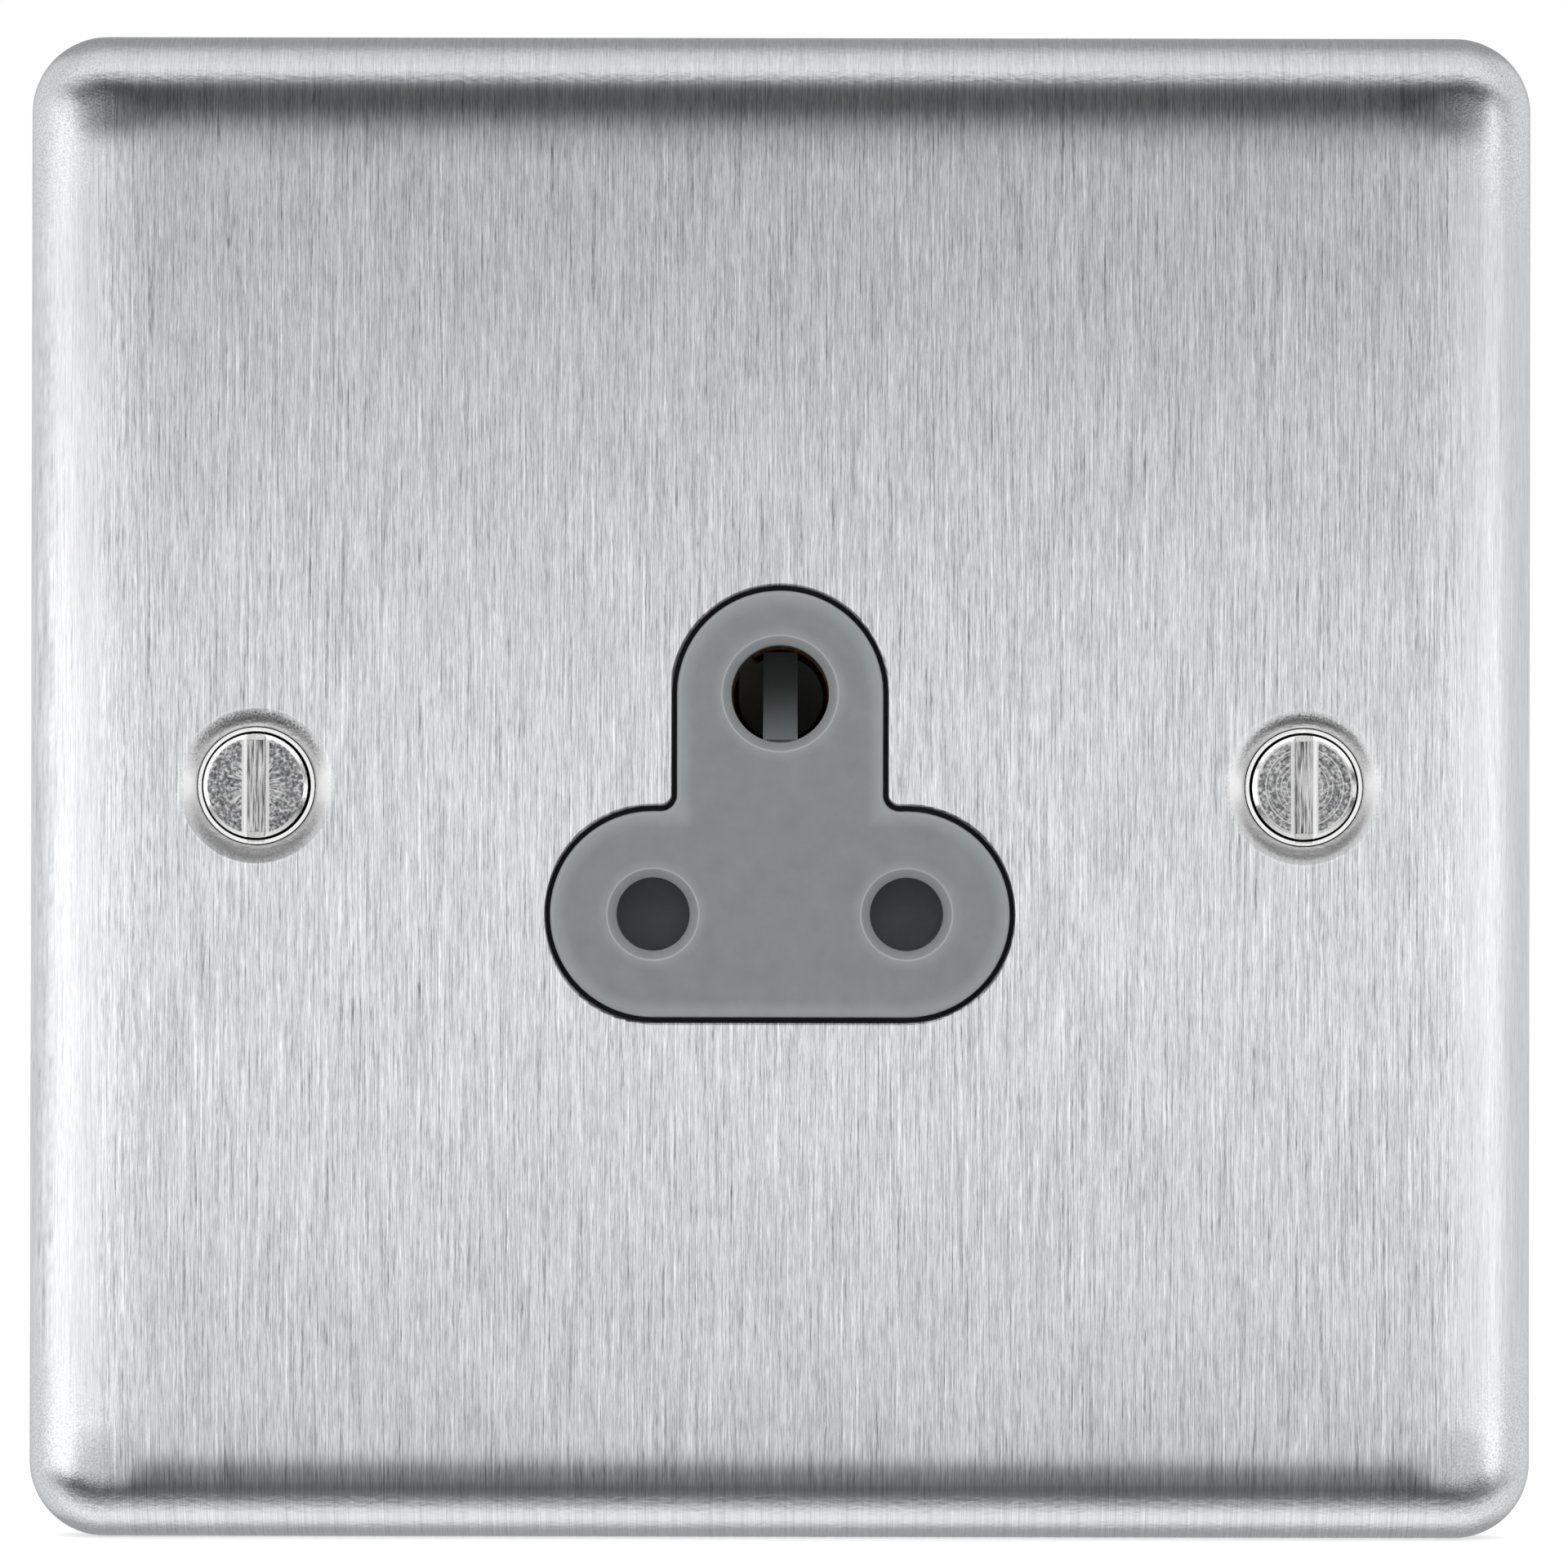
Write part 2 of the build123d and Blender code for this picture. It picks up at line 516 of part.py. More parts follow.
def contact_pocket(grip, front, length, wrap_stack, wall):
    """Room in the rear housing for a contact, its tail and its block, with the openings through the wall."""
    top = grip + wrap_stack + RIVET_HEAD_HEIGHT + 2 * POCKET_GAP
    bottom = grip - BLOCK_LENGTH - POCKET_GAP
    floor = front + length + POCKET_GAP
    pocket = rod(grip + STRIP + 2 * POCKET_GAP, FLANGE_BACK, floor)
    pocket += block_between((0, BLOCK_OFFSET), (FLANGE_BACK, floor), (grip - POCKET_GAP, top))
    sides = (BLOCK_OFFSET - POCKET_GAP, BLOCK_FAR + POCKET_GAP)
    pocket += block_between(sides, (FLANGE_BACK, BLOCK_BACK + FIT), (bottom, top))
    pocket += block_between(sides, (FLANGE_BACK, floor), (grip - POCKET_GAP, top))
    screw_z = grip - BLOCK_LENGTH + TERMINAL_SCREW_INSET
    access = TERMINAL_HEAD / 2 + 2 * POCKET_GAP
    driver_hole = [
        (0, BLOCK_BACK),
        (access, BLOCK_BACK),
        (access, HOUSING_BACK - MOUTH_CHAMFER),
        (access + MOUTH_CHAMFER, HOUSING_BACK),
        (0, HOUSING_BACK),
    ]
    pocket += Pos(BLOCK_MIDDLE, 0, screw_z) * turned(driver_hole)
    outside = Pos(BLOCK_MIDDLE, WIRE_Y, -wall - MOUTH_CHAMFER)
    entry = WIRE_ENTRY / 2
    pocket += outside * Cylinder(entry, wall + MOUTH_CHAMFER + grip - BLOCK_LENGTH, align=ON_END)
    return pocket + outside * Cone(entry + 2 * MOUTH_CHAMFER, entry, 2 * MOUTH_CHAMFER, align=ON_END)


def rear_housing():
    """Rear moulding with the contacts' pockets, the shutter's slide, wire entries and screw holes."""
    standing = (Align.CENTER, Align.MIN)
    foot = Rectangle(2 * FOOT_HALF, FOOT_TOP - FOOT_BOTTOM, align=standing)
    tower = Rectangle(2 * TOWER_HALF, TOWER_TOP - FOOT_BOTTOM, align=standing)
    outline = Pos(0, FOOT_BOTTOM) * (foot + tower)
    outline = Plane.XZ.offset(-FLANGE_BACK) * fillet(outline.vertices(), HOUSING_CORNER)
    housing = extrude(outline, amount=HOUSING_BACK - FLANGE_BACK, dir=(0, 1, 0), taper=HOUSING_DRAFT)
    housing = fillet(edges_at(housing, HOUSING_BACK), HOUSING_EDGE)
    live_wall = LIVE_Z - FOOT_BOTTOM
    live = contact_pocket(LIVE_GRIP, LIVE_GRIP_FRONT, LIVE_GRIP_LENGTH, STRIP, live_wall)
    housing -= at_line(live)
    housing -= at_neutral(live)
    stack = STRIP + STRAP_THICKNESS
    housing -= at_earth(contact_pocket(EARTH_GRIP, EARTH_GRIP_FRONT, EARTH_GRIP_LENGTH, stack, TOWER_HALF))
    reach = BLADE_REACH + SHUTTER_GAP
    slide_floor = BLADE_BACK + SHUTTER_GAP
    housing -= block_between((-reach, reach), (FLANGE_BACK, slide_floor), (SLIDE_BOTTOM, SLIDE_TOP))
    slot = RAMP_WIDTH / 2 + SHUTTER_GAP
    ramp_floor = RAMP_BACK + SHUTTER_GAP
    housing -= block_between((-slot, slot), (FLANGE_BACK, ramp_floor), (LIVE_Z - SHUTTER_TRAVEL, EARTH_Z))
    well = HUB_WIDTH / 2 + SHUTTER_GAP
    hub_top = BLADE_BOTTOM + HUB_HEIGHT + SHUTTER_GAP
    housing -= block_between((-well, well), (FLANGE_BACK, HUB_BACK + SHUTTER_GAP), (SPRING_SEAT, hub_top))
    strap_half = STRAP_WIDTH / 2 + POCKET_GAP
    strap_span = (STUD_Z - strap_half, STUD_Z + strap_half)
    strap_floor = FLANGE_BACK + STRAP_THICKNESS + FIT
    housing -= block_between((-TOWER_HALF, 0), (FLANGE_BACK, strap_floor), strap_span)
    for x, z in CLOSING_PLACES:
        housing -= rod(PILLAR_ROOM, FLANGE_BACK, PILLAR_BACK + FIT, x, z)
        housing -= rod(CLOSING_SHANK / 2 + POCKET_GAP, FLANGE_BACK, HOUSING_BACK, x, z)
        housing -= rod(CLOSING_BORE, CLOSING_SEAT, HOUSING_BACK, x, z)
    return housing


def housing_screws():
    """Four slotted screws from the back that draw the two mouldings together."""
    shank = CLOSING_SHANK / 2
    head = CLOSING_HEAD / 2
    tip = FLANGE_FRONT + SHEET + FIT
    top = CLOSING_SEAT + CLOSING_HEAD_HEIGHT
    seat = CLOSING_SEAT
    screw = turned([(0, tip), (shank, tip), (shank, seat), (head, seat), (head, top), (0, top)])
    screw = chamfer(screw.edges().filter_by(GeomType.CIRCLE).sort_by(Axis.Y)[-1], CLOSING_HEAD_HEIGHT / 4)
    slot = (-CLOSING_SLOT / 2, CLOSING_SLOT / 2)
    slot_depth = (top - CLOSING_HEAD_HEIGHT / 2, top + FIT)
    screw -= block_between((-CLOSING_HEAD, CLOSING_HEAD), slot_depth, slot)
    group = Part()
    for x, z in CLOSING_PLACES:
        group += Pos(x, 0, z) * screw
    return group


def nut_seat(x):
    """Level on which the nut sits: the strap on the left, the flange on the right."""
    return FLANGE_BACK + (STRAP_THICKNESS if x < 0 else 0)


def plate_studs():
    """Two studs welded to the back of the plate."""
    group = Part()
    for x in (-STUD_X, STUD_X):
        group += rod(STUD_DIAMETER / 2, PLATE_INSIDE, nut_seat(x) + NUT_HEIGHT + STUD_TAIL, x, STUD_Z)
    return group


def stud_nuts():
    """Two hexagon nuts."""
    hexagon = RegularPolygon(NUT_ACROSS_FLATS / 2, 6, major_radius=False) - Circle(STUD_DIAMETER / 2 + FIT)
    group = Part()
    for x in (-STUD_X, STUD_X):
        group += slab(Pos(x, STUD_Z) * hexagon, nut_seat(x), nut_seat(x) + NUT_HEIGHT)
    return group


def earth_strap():
    """Bent strip from the left stud to the earth contact's rivet."""
    inner = -EARTH_GRIP - STRIP
    outer = inner - STRAP_THICKNESS
    level = FLANGE_BACK + STRAP_THICKNESS
    end = WIRE_Y + STRAP_WIDTH / 2
    bend = [
        (-STUD_X, FLANGE_BACK),
        (inner, FLANGE_BACK),
        (inner, end),
        (outer, end),
        (outer, level),
        (-STUD_X, level),
    ]
    profile = make_face(Polyline(*bend, close=True))
    outside = profile.vertices().sort_by_distance((inner, FLANGE_BACK))[0]
    profile = fillet(outside, STRAP_BEND + STRAP_THICKNESS)
    inside = profile.vertices().sort_by_distance((outer, level))[0]
    profile = fillet(inside, STRAP_BEND)
    strap = Pos(0, 0, STUD_Z - STRAP_WIDTH / 2) * extrude(profile, amount=STRAP_WIDTH)
    strap += rod(STRAP_WIDTH / 2, FLANGE_BACK, level, -STUD_X, STUD_Z)
    strap -= rod(STUD_DIAMETER / 2 + FIT, FLANGE_BACK, level, -STUD_X, STUD_Z)
    hole = Pos(outer, WIRE_Y, STUD_Z) * Rot(0, 90, 0)
    return strap - hole * Cylinder(RIVET_SHANK / 2 + FIT, 2 * STRAP_THICKNESS)


NODES = {
    "front_plate": front_plate,
    "fixing_screws": fixing_screws,
    "insulating_liner": insulating_liner,
    "socket_front": socket_front,
    "shutter": shutter,
    "shutter_spring": shutter_spring,
    "line_contact": lambda: at_line(live_contact()),
    "neutral_contact": lambda: at_neutral(live_contact()),
    "earth_contact": lambda: at_earth(earth_grip()),
    "line_terminal": lambda: at_line(terminal(LIVE_GRIP)),
    "neutral_terminal": lambda: at_neutral(terminal(LIVE_GRIP)),
    "earth_terminal": lambda: at_earth(terminal(EARTH_GRIP)),
    "terminal_screws": terminal_screws,
    "contact_rivets": contact_rivets,
    "rear_housing": rear_housing,
    "housing_screws": housing_screws,
    "plate_studs": plate_studs,
    "stud_nuts": stud_nuts,
    "earth_strap": earth_strap,
}

os.makedirs("parts", exist_ok=True)
for name, build in NODES.items():
    export_step(build(), f"parts/{name}.step")
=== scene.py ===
import json
from math import ceil, cos, hypot, pi, radians, sin

import bmesh
import bpy
from mathutils import Matrix, Vector


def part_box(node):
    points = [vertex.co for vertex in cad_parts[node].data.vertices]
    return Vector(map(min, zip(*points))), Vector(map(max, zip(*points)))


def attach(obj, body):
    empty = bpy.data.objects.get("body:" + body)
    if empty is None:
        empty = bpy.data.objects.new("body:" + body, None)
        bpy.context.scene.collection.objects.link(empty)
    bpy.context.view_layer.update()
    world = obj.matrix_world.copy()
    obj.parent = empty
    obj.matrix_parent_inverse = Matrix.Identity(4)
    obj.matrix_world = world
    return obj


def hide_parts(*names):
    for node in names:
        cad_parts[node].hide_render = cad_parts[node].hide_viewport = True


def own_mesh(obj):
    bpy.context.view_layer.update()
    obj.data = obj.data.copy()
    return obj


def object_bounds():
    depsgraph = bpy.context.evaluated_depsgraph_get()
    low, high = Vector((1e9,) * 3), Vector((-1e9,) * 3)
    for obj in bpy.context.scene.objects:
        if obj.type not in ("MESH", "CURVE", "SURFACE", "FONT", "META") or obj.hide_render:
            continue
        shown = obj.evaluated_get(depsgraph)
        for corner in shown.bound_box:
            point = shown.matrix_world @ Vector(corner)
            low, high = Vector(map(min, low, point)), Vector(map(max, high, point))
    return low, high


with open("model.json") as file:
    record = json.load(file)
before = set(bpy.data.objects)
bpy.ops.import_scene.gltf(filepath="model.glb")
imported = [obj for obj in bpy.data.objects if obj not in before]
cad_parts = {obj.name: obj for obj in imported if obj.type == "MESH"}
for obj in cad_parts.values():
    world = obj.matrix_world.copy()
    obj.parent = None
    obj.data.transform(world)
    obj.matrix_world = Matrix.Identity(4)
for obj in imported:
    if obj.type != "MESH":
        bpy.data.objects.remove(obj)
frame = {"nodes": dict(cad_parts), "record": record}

MM = 0.001
CAD_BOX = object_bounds()
NODES = frame["nodes"]
MOUNTS = {mount["name"]: mount for mount in frame["record"]["mounts"]}

# Levels and places read from the frame
PLATE_LOW, PLATE_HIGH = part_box("front_plate")
PLATE_FACE = PLATE_LOW.y
HEAD_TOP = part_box("fixing_screws")[0].y
FIXING_X = MOUNTS["box_screws"]["dims"]["spacing_x_mm"] / 2 * MM
FIXING_RADIUS = MOUNTS["box_screws"]["dims"]["stud_r_mm"] * MM
PIN_HOLES = [MOUNTS[name + "_pin_hole"] for name in ("line", "neutral", "earth")]

# Where the plate's bent edge starts, how far the press has softened it, and where it rolls over to the wall;
# the roll starts a little nearer to the middle at the sides
KNEE_START = 35.6 * MM
KNEE_BLEND = 1.0 * MM
KNEE_SOFTNESS = 1.4 * MM
ROLL_START = KNEE_START + 4.2 * MM
ROLL_END = KNEE_START + 5.4 * MM
ROLL_SIDE = 1.3 * MM

# The bends along the top and bottom of the front run straight on into the corners: the heights between which
# that sets in, the places beside the middle between which it fades, and what counts as the front
BEND_START = KNEE_START + 1.2 * MM
BEND_END = KNEE_START + 2.6 * MM
BEND_FADE_START = KNEE_START + 3.0 * MM
BEND_FADE_END = KNEE_START + 5.4 * MM
FRONT_FACING = -0.3

# The strained corners: where their grain starts and is full, inwards from the corner along X and Z together,
# and along X alone
CORNER_START = 14 * MM
CORNER_FULL = 8 * MM
STRAIN_START = KNEE_START + 2 * MM
STRAIN_FULL = KNEE_START + 4.6 * MM

# The dished screw seats: their radius, how far their grain strays over it and fades, and the ring next
# to the head where the painted shade thins out and the normal is made level
SEAT_RADIUS = 4.6 * MM
SEAT_RAGGED = 0.8 * MM
SEAT_FADE = 0.5 * MM
SEAT_RING = 3.5 * MM
SEAT_RING_END = 4.1 * MM
SEAT_LEVEL_END = 3.9 * MM

# The brushed sheet in millimetres. Lines have a width and a length, grain has a size along X, Y and Z.
# Real belt lines are about half as wide, which is too fine to show, so they are drawn this coarse.
FINE_LINES = (0.036, 8.0)
SHORT_LINES = (0.028, 1.2)
BROAD_LINES = (0.15, 1.0, 14.0)
LINE_WANDER = 0.3
LINE_SHUFFLE = 1000.0
PEEL_SIZES = (0.11, 0.11, 0.11)
RIPPLE_SIZES = (0.6, 0.3, 0.3)

# The share of short lines among fine ones, of broad ones among both, how much the rolled edge calms them, and
# what counts as a side
SHORT_SHARE = 0.42
BROAD_SHARE = 0.1
ROLL_CALM = 0.6
SIDE_FACING = 0.5

# How high the sheet's ripple, grit and lines stand
RIPPLE_HEIGHT = 0.021 * MM
GRIT_HEIGHT = 0.009 * MM
LINE_HEIGHT = 0.0012 * MM

# The screw heads' rim, groove, slot and dull top skin, painted shade on them, and the bruise in the middle of
# one
HEAD_RADIUS = 3.43 * MM
HEAD_GROOVE = 3.07 * MM
HEAD_SLOT_DEPTH = 1.37 * MM
HEAD_SLOT_EDGE = 0.7 * MM
HEAD_SLOT_WORN = 0.09 * MM
HEAD_SINK = 0.1 * MM
HEAD_SKIN = 0.04 * MM
GROOVE_SHADE = 0.075 * MM
RIM_SHADE = 0.07 * MM
RIM_SHADE_DEPTH = 0.06 * MM
BRUISE_FULL = 1.4 * MM
BRUISE_END = 1.9 * MM

# Marks on the screw heads in millimetres: turned rings, the bruise's spokes, pits, and the cutter's streaks
RING_SIZES = (0.12, 1.0, 1.0)
SPOKE_SIZES = (0.11, 1.0, 0.9)
PIT_SIZES = (0.2, 0.2, 0.2)
STREAK_SIZES = (0.09, 0.09, 1.8)

# Pin holes' lead-in, the moulding's lobes, how far the painted highlight line, halo and edge reach from
# them, and a distance beyond all of it
LEAD_IN = 0.52 * MM
LOBE_RADIUS = 5.93 * MM
HIGHLIGHT_LINE = (0.02 * MM, 0.08 * MM)
HIGHLIGHT_HALO = (0.1 * MM, 0.6 * MM)
HIGHLIGHT_EDGE = (0.1 * MM, 1.0 * MM)
FAR = 1.0

# Mottle and fine grain of the mouldings in millimetres
MOTTLE_SIZES = (1.6, 1.6, 1.6)
MOULD_GRAIN_SIZES = (0.15, 0.15, 0.15)

# How deep the pits in the plating, clouds in plain metal and grain of mouldings are
PIT_DEPTH = 0.012 * MM
CLOUD_DEPTH = 0.01 * MM
MOULD_GRAIN_DEPTH = 0.02 * MM

# Threads of the fixing screws and the studs
FIXING_PITCH = 0.6 * MM
STUD_PITCH = 0.5 * MM
THREAD_DEPTH = 0.6
THREAD_SIDES = 32
ROWS_PER_PITCH = 8
SHARP_EDGE = radians(20)

# Shutter spring, drawn from its seat up to the shutter
SPRING_TURNS = 6
SPRING_WIRE = 0.36 * MM
WIRE_SIDES = 10
STEPS_PER_TURN = 28

# View: square to the plate, with a trace of tilt
VIEW_AZIMUTH = radians(0.14)
VIEW_ELEVATION = radians(-0.37)
VIEW_DISTANCE = 450 * MM
VIEW_WIDTH = 90.24 * MM
VIEW_ROLL = radians(0.1)
VIEW_TARGET = Vector((0.23 * MM, PLATE_FACE, 0.15 * MM))
SENSOR_WIDTH = 36.0


def linear(hex_colour):
    """An sRGB hex colour as linear red, green, blue and alpha."""
    shares = [int(hex_colour[i:i + 2], 16) / 255 for i in (0, 2, 4)]
    return [s / 12.92 if s <= 0.04045 else ((s + 0.055) / 1.055) ** 2.4 for s in shares] + [1.0]


def add(tree, kind, inputs=None, **settings):
    """Adds a shader node with its settings, sets or links its inputs, and gives its first shown output."""
    made = tree.nodes.new("ShaderNode" + kind)
    for name, value in settings.items():
        setattr(made, name, value)
    for socket, value in (inputs or {}).items():
        if isinstance(value, bpy.types.NodeSocket):
            tree.links.new(value, made.inputs[socket])
        else:
            made.inputs[socket].default_value = value
    return next((output for output in made.outputs if output.enabled), None)


def ramp(tree, value, stops):
    """Colours a value by stops of place and linear colour."""
    colour = add(tree, "ValToRGB", {"Fac": value})
    elements = colour.node.color_ramp.elements
    while len(elements) < len(stops):
        elements.new(0.5)
    for element, (place, tone) in zip(elements, stops):
        element.position = place
        element.color = tone
    return colour


def new_material(name):
    """An empty node material and its tree."""
    material = bpy.data.materials.new(name)
    material.use_nodes = True
    material.node_tree.nodes.clear()
    return material, material.node_tree


def grain(tree, place, sizes, detail=2.0):
    """Noise whose features have these sizes in millimetres along X, Y and Z."""
    scaled = add(tree, "Mapping", {"Vector": place, "Scale": [1 / (size * MM) for size in sizes]})
    return add(tree, "TexNoise", {"Vector": scaled, "Scale": 1.0, "Detail": detail, "Roughness": 0.6})


def brushing(tree, across, along, width, length):
    """Lines of this width, each with a tone of its own that changes over this length, in millimetres."""
    line = add(tree, "Math", {0: across, 1: width * MM}, operation="DIVIDE")
    line = add(tree, "Math", {0: line}, operation="FLOOR")
    start = add(tree, "TexWhiteNoise", {"W": line}, noise_dimensions="1D")
    run = add(tree, "Math", {0: along, 1: length * MM}, operation="DIVIDE")
    run = add(tree, "Math", {0: start, 1: LINE_SHUFFLE, 2: run}, operation="MULTIPLY_ADD")
    return add(tree, "TexNoise", {"W": run, "Scale": 1.0, "Detail": 3.0}, noise_dimensions="1D")


def belt_lines(tree, place, facing):
    """Upright lines that a brushing belt leaves: fine and short ones, and a few broad ones."""
    along = add(tree, "Math", {0: place["Z"], 1: place["Y"]}, operation="ADD")
    sheet = add(tree, "CombineXYZ", {"X": place["X"], "Z": along})
    wander = grain(tree, add(tree, "CombineXYZ", {"X": place["X"]}), (LINE_WANDER, 1.0, 1.0), 0.0)
    sideways = add(tree, "Math", {0: facing["X"]}, operation="ABSOLUTE")
    sideways = add(tree, "Math", {0: sideways, 1: SIDE_FACING}, operation="GREATER_THAN")
    across = add(tree, "Math", {0: sideways, 1: place["Y"], 2: place["X"]}, operation="MULTIPLY_ADD")
    across = add(tree, "Math", {0: wander, 1: LINE_WANDER * MM, 2: across}, operation="MULTIPLY_ADD")
    fine = brushing(tree, across, along, *FINE_LINES)
    short = brushing(tree, across, along, *SHORT_LINES)
    broad = grain(tree, sheet, BROAD_LINES, 1.0)
    lines = add(tree, "Mix", {0: SHORT_SHARE, 2: fine, 3: short}, data_type="FLOAT")
    return add(tree, "Mix", {0: BROAD_SHARE, 2: lines, 3: broad}, data_type="FLOAT")


def seat_shaded_specks(tree, peel, facing, upward, seat_out):
    """Painted shade, grainy, where a screw seat slopes; less next to the head and on its lower half."""
    # Painted shade on the slopes, thinned out next to the head and on the lower half, which faces up
    sloping = add(tree, "MapRange", {"Value": upward, "From Min": 0.03, "From Max": 0.15})
    clear = add(tree, "MapRange", {
        "Value": seat_out,
        "From Min": SEAT_RING,
        "From Max": SEAT_RING_END,
        "To Min": 0.3,
    })
    sloping = add(tree, "Math", {0: sloping, 1: clear}, operation="MULTIPLY")
    lower = add(tree, "MapRange", {"Value": facing["Z"], "From Max": 0.1, "To Min": 1.0, "To Max": 0.6})
    sloping = add(tree, "Math", {0: sloping, 1: lower}, operation="MULTIPLY")
    shaded_specks = ramp(tree, peel, [(0.36, linear("686868")), (0.62, linear("C2C2C2"))])
    return add(tree, "Mix", {0: sloping, 6: linear("F4F4F4"), 7: shaded_specks}, data_type="RGBA")


def pressed_normal(tree, normal, facing, place, beside, above, seat_out):
    """The sheet's normal as the press has left it: soft at the bends, and level next to the screw heads.

    The bends along the top and bottom of the front run straight on into the corners."""
    edge = add(tree, "Math", {0: beside, 1: above}, operation="MAXIMUM")
    edge = add(tree, "MapRange", {"Value": edge, "From Min": KNEE_START - KNEE_BLEND, "From Max": KNEE_START})
    soft = add(tree, "Bevel", {"Radius": KNEE_SOFTNESS})
    soft = add(tree, "Mix", {0: edge, 4: normal, 5: soft}, data_type="VECTOR")
    bend = add(tree, "MapRange", {
        "Value": above,
        "From Min": BEND_START,
        "From Max": BEND_END,
        "To Max": 0.9,
    })
    inside = add(tree, "MapRange", {"Value": beside, "From Min": BEND_FADE_END, "From Max": BEND_FADE_START})
    straight = add(tree, "Math", {0: bend, 1: inside}, operation="MULTIPLY")
    front = add(tree, "Math", {0: facing["Y"], 1: FRONT_FACING}, operation="LESS_THAN")
    straight = add(tree, "Math", {0: straight, 1: front}, operation="MULTIPLY")
    tilt = add(tree, "SeparateXYZ", {0: soft}).node.outputs
    steep = add(tree, "VectorMath", {0: soft, 1: (1, 0, 1)}, operation="MULTIPLY")
    steep = add(tree, "VectorMath", {0: steep}, operation="LENGTH").node.outputs["Value"]
    ends = add(tree, "Math", {0: place["Z"]}, operation="SIGN")
    steep = add(tree, "Math", {0: steep, 1: ends}, operation="MULTIPLY")
    ahead = add(tree, "CombineXYZ", {"Y": tilt["Y"], "Z": steep})
    soft = add(tree, "Mix", {0: straight, 4: soft, 5: ahead}, data_type="VECTOR")
    level = add(tree, "MapRange", {
        "Value": seat_out,
        "From Min": SEAT_LEVEL_END,
        "From Max": SEAT_RING,
        "To Max": 0.8,
    })
    level = add(tree, "Math", {0: level, 1: front}, operation="MULTIPLY")
    return add(tree, "Mix", {0: level, 4: soft, 5: (0, -1, 0)}, data_type="VECTOR")


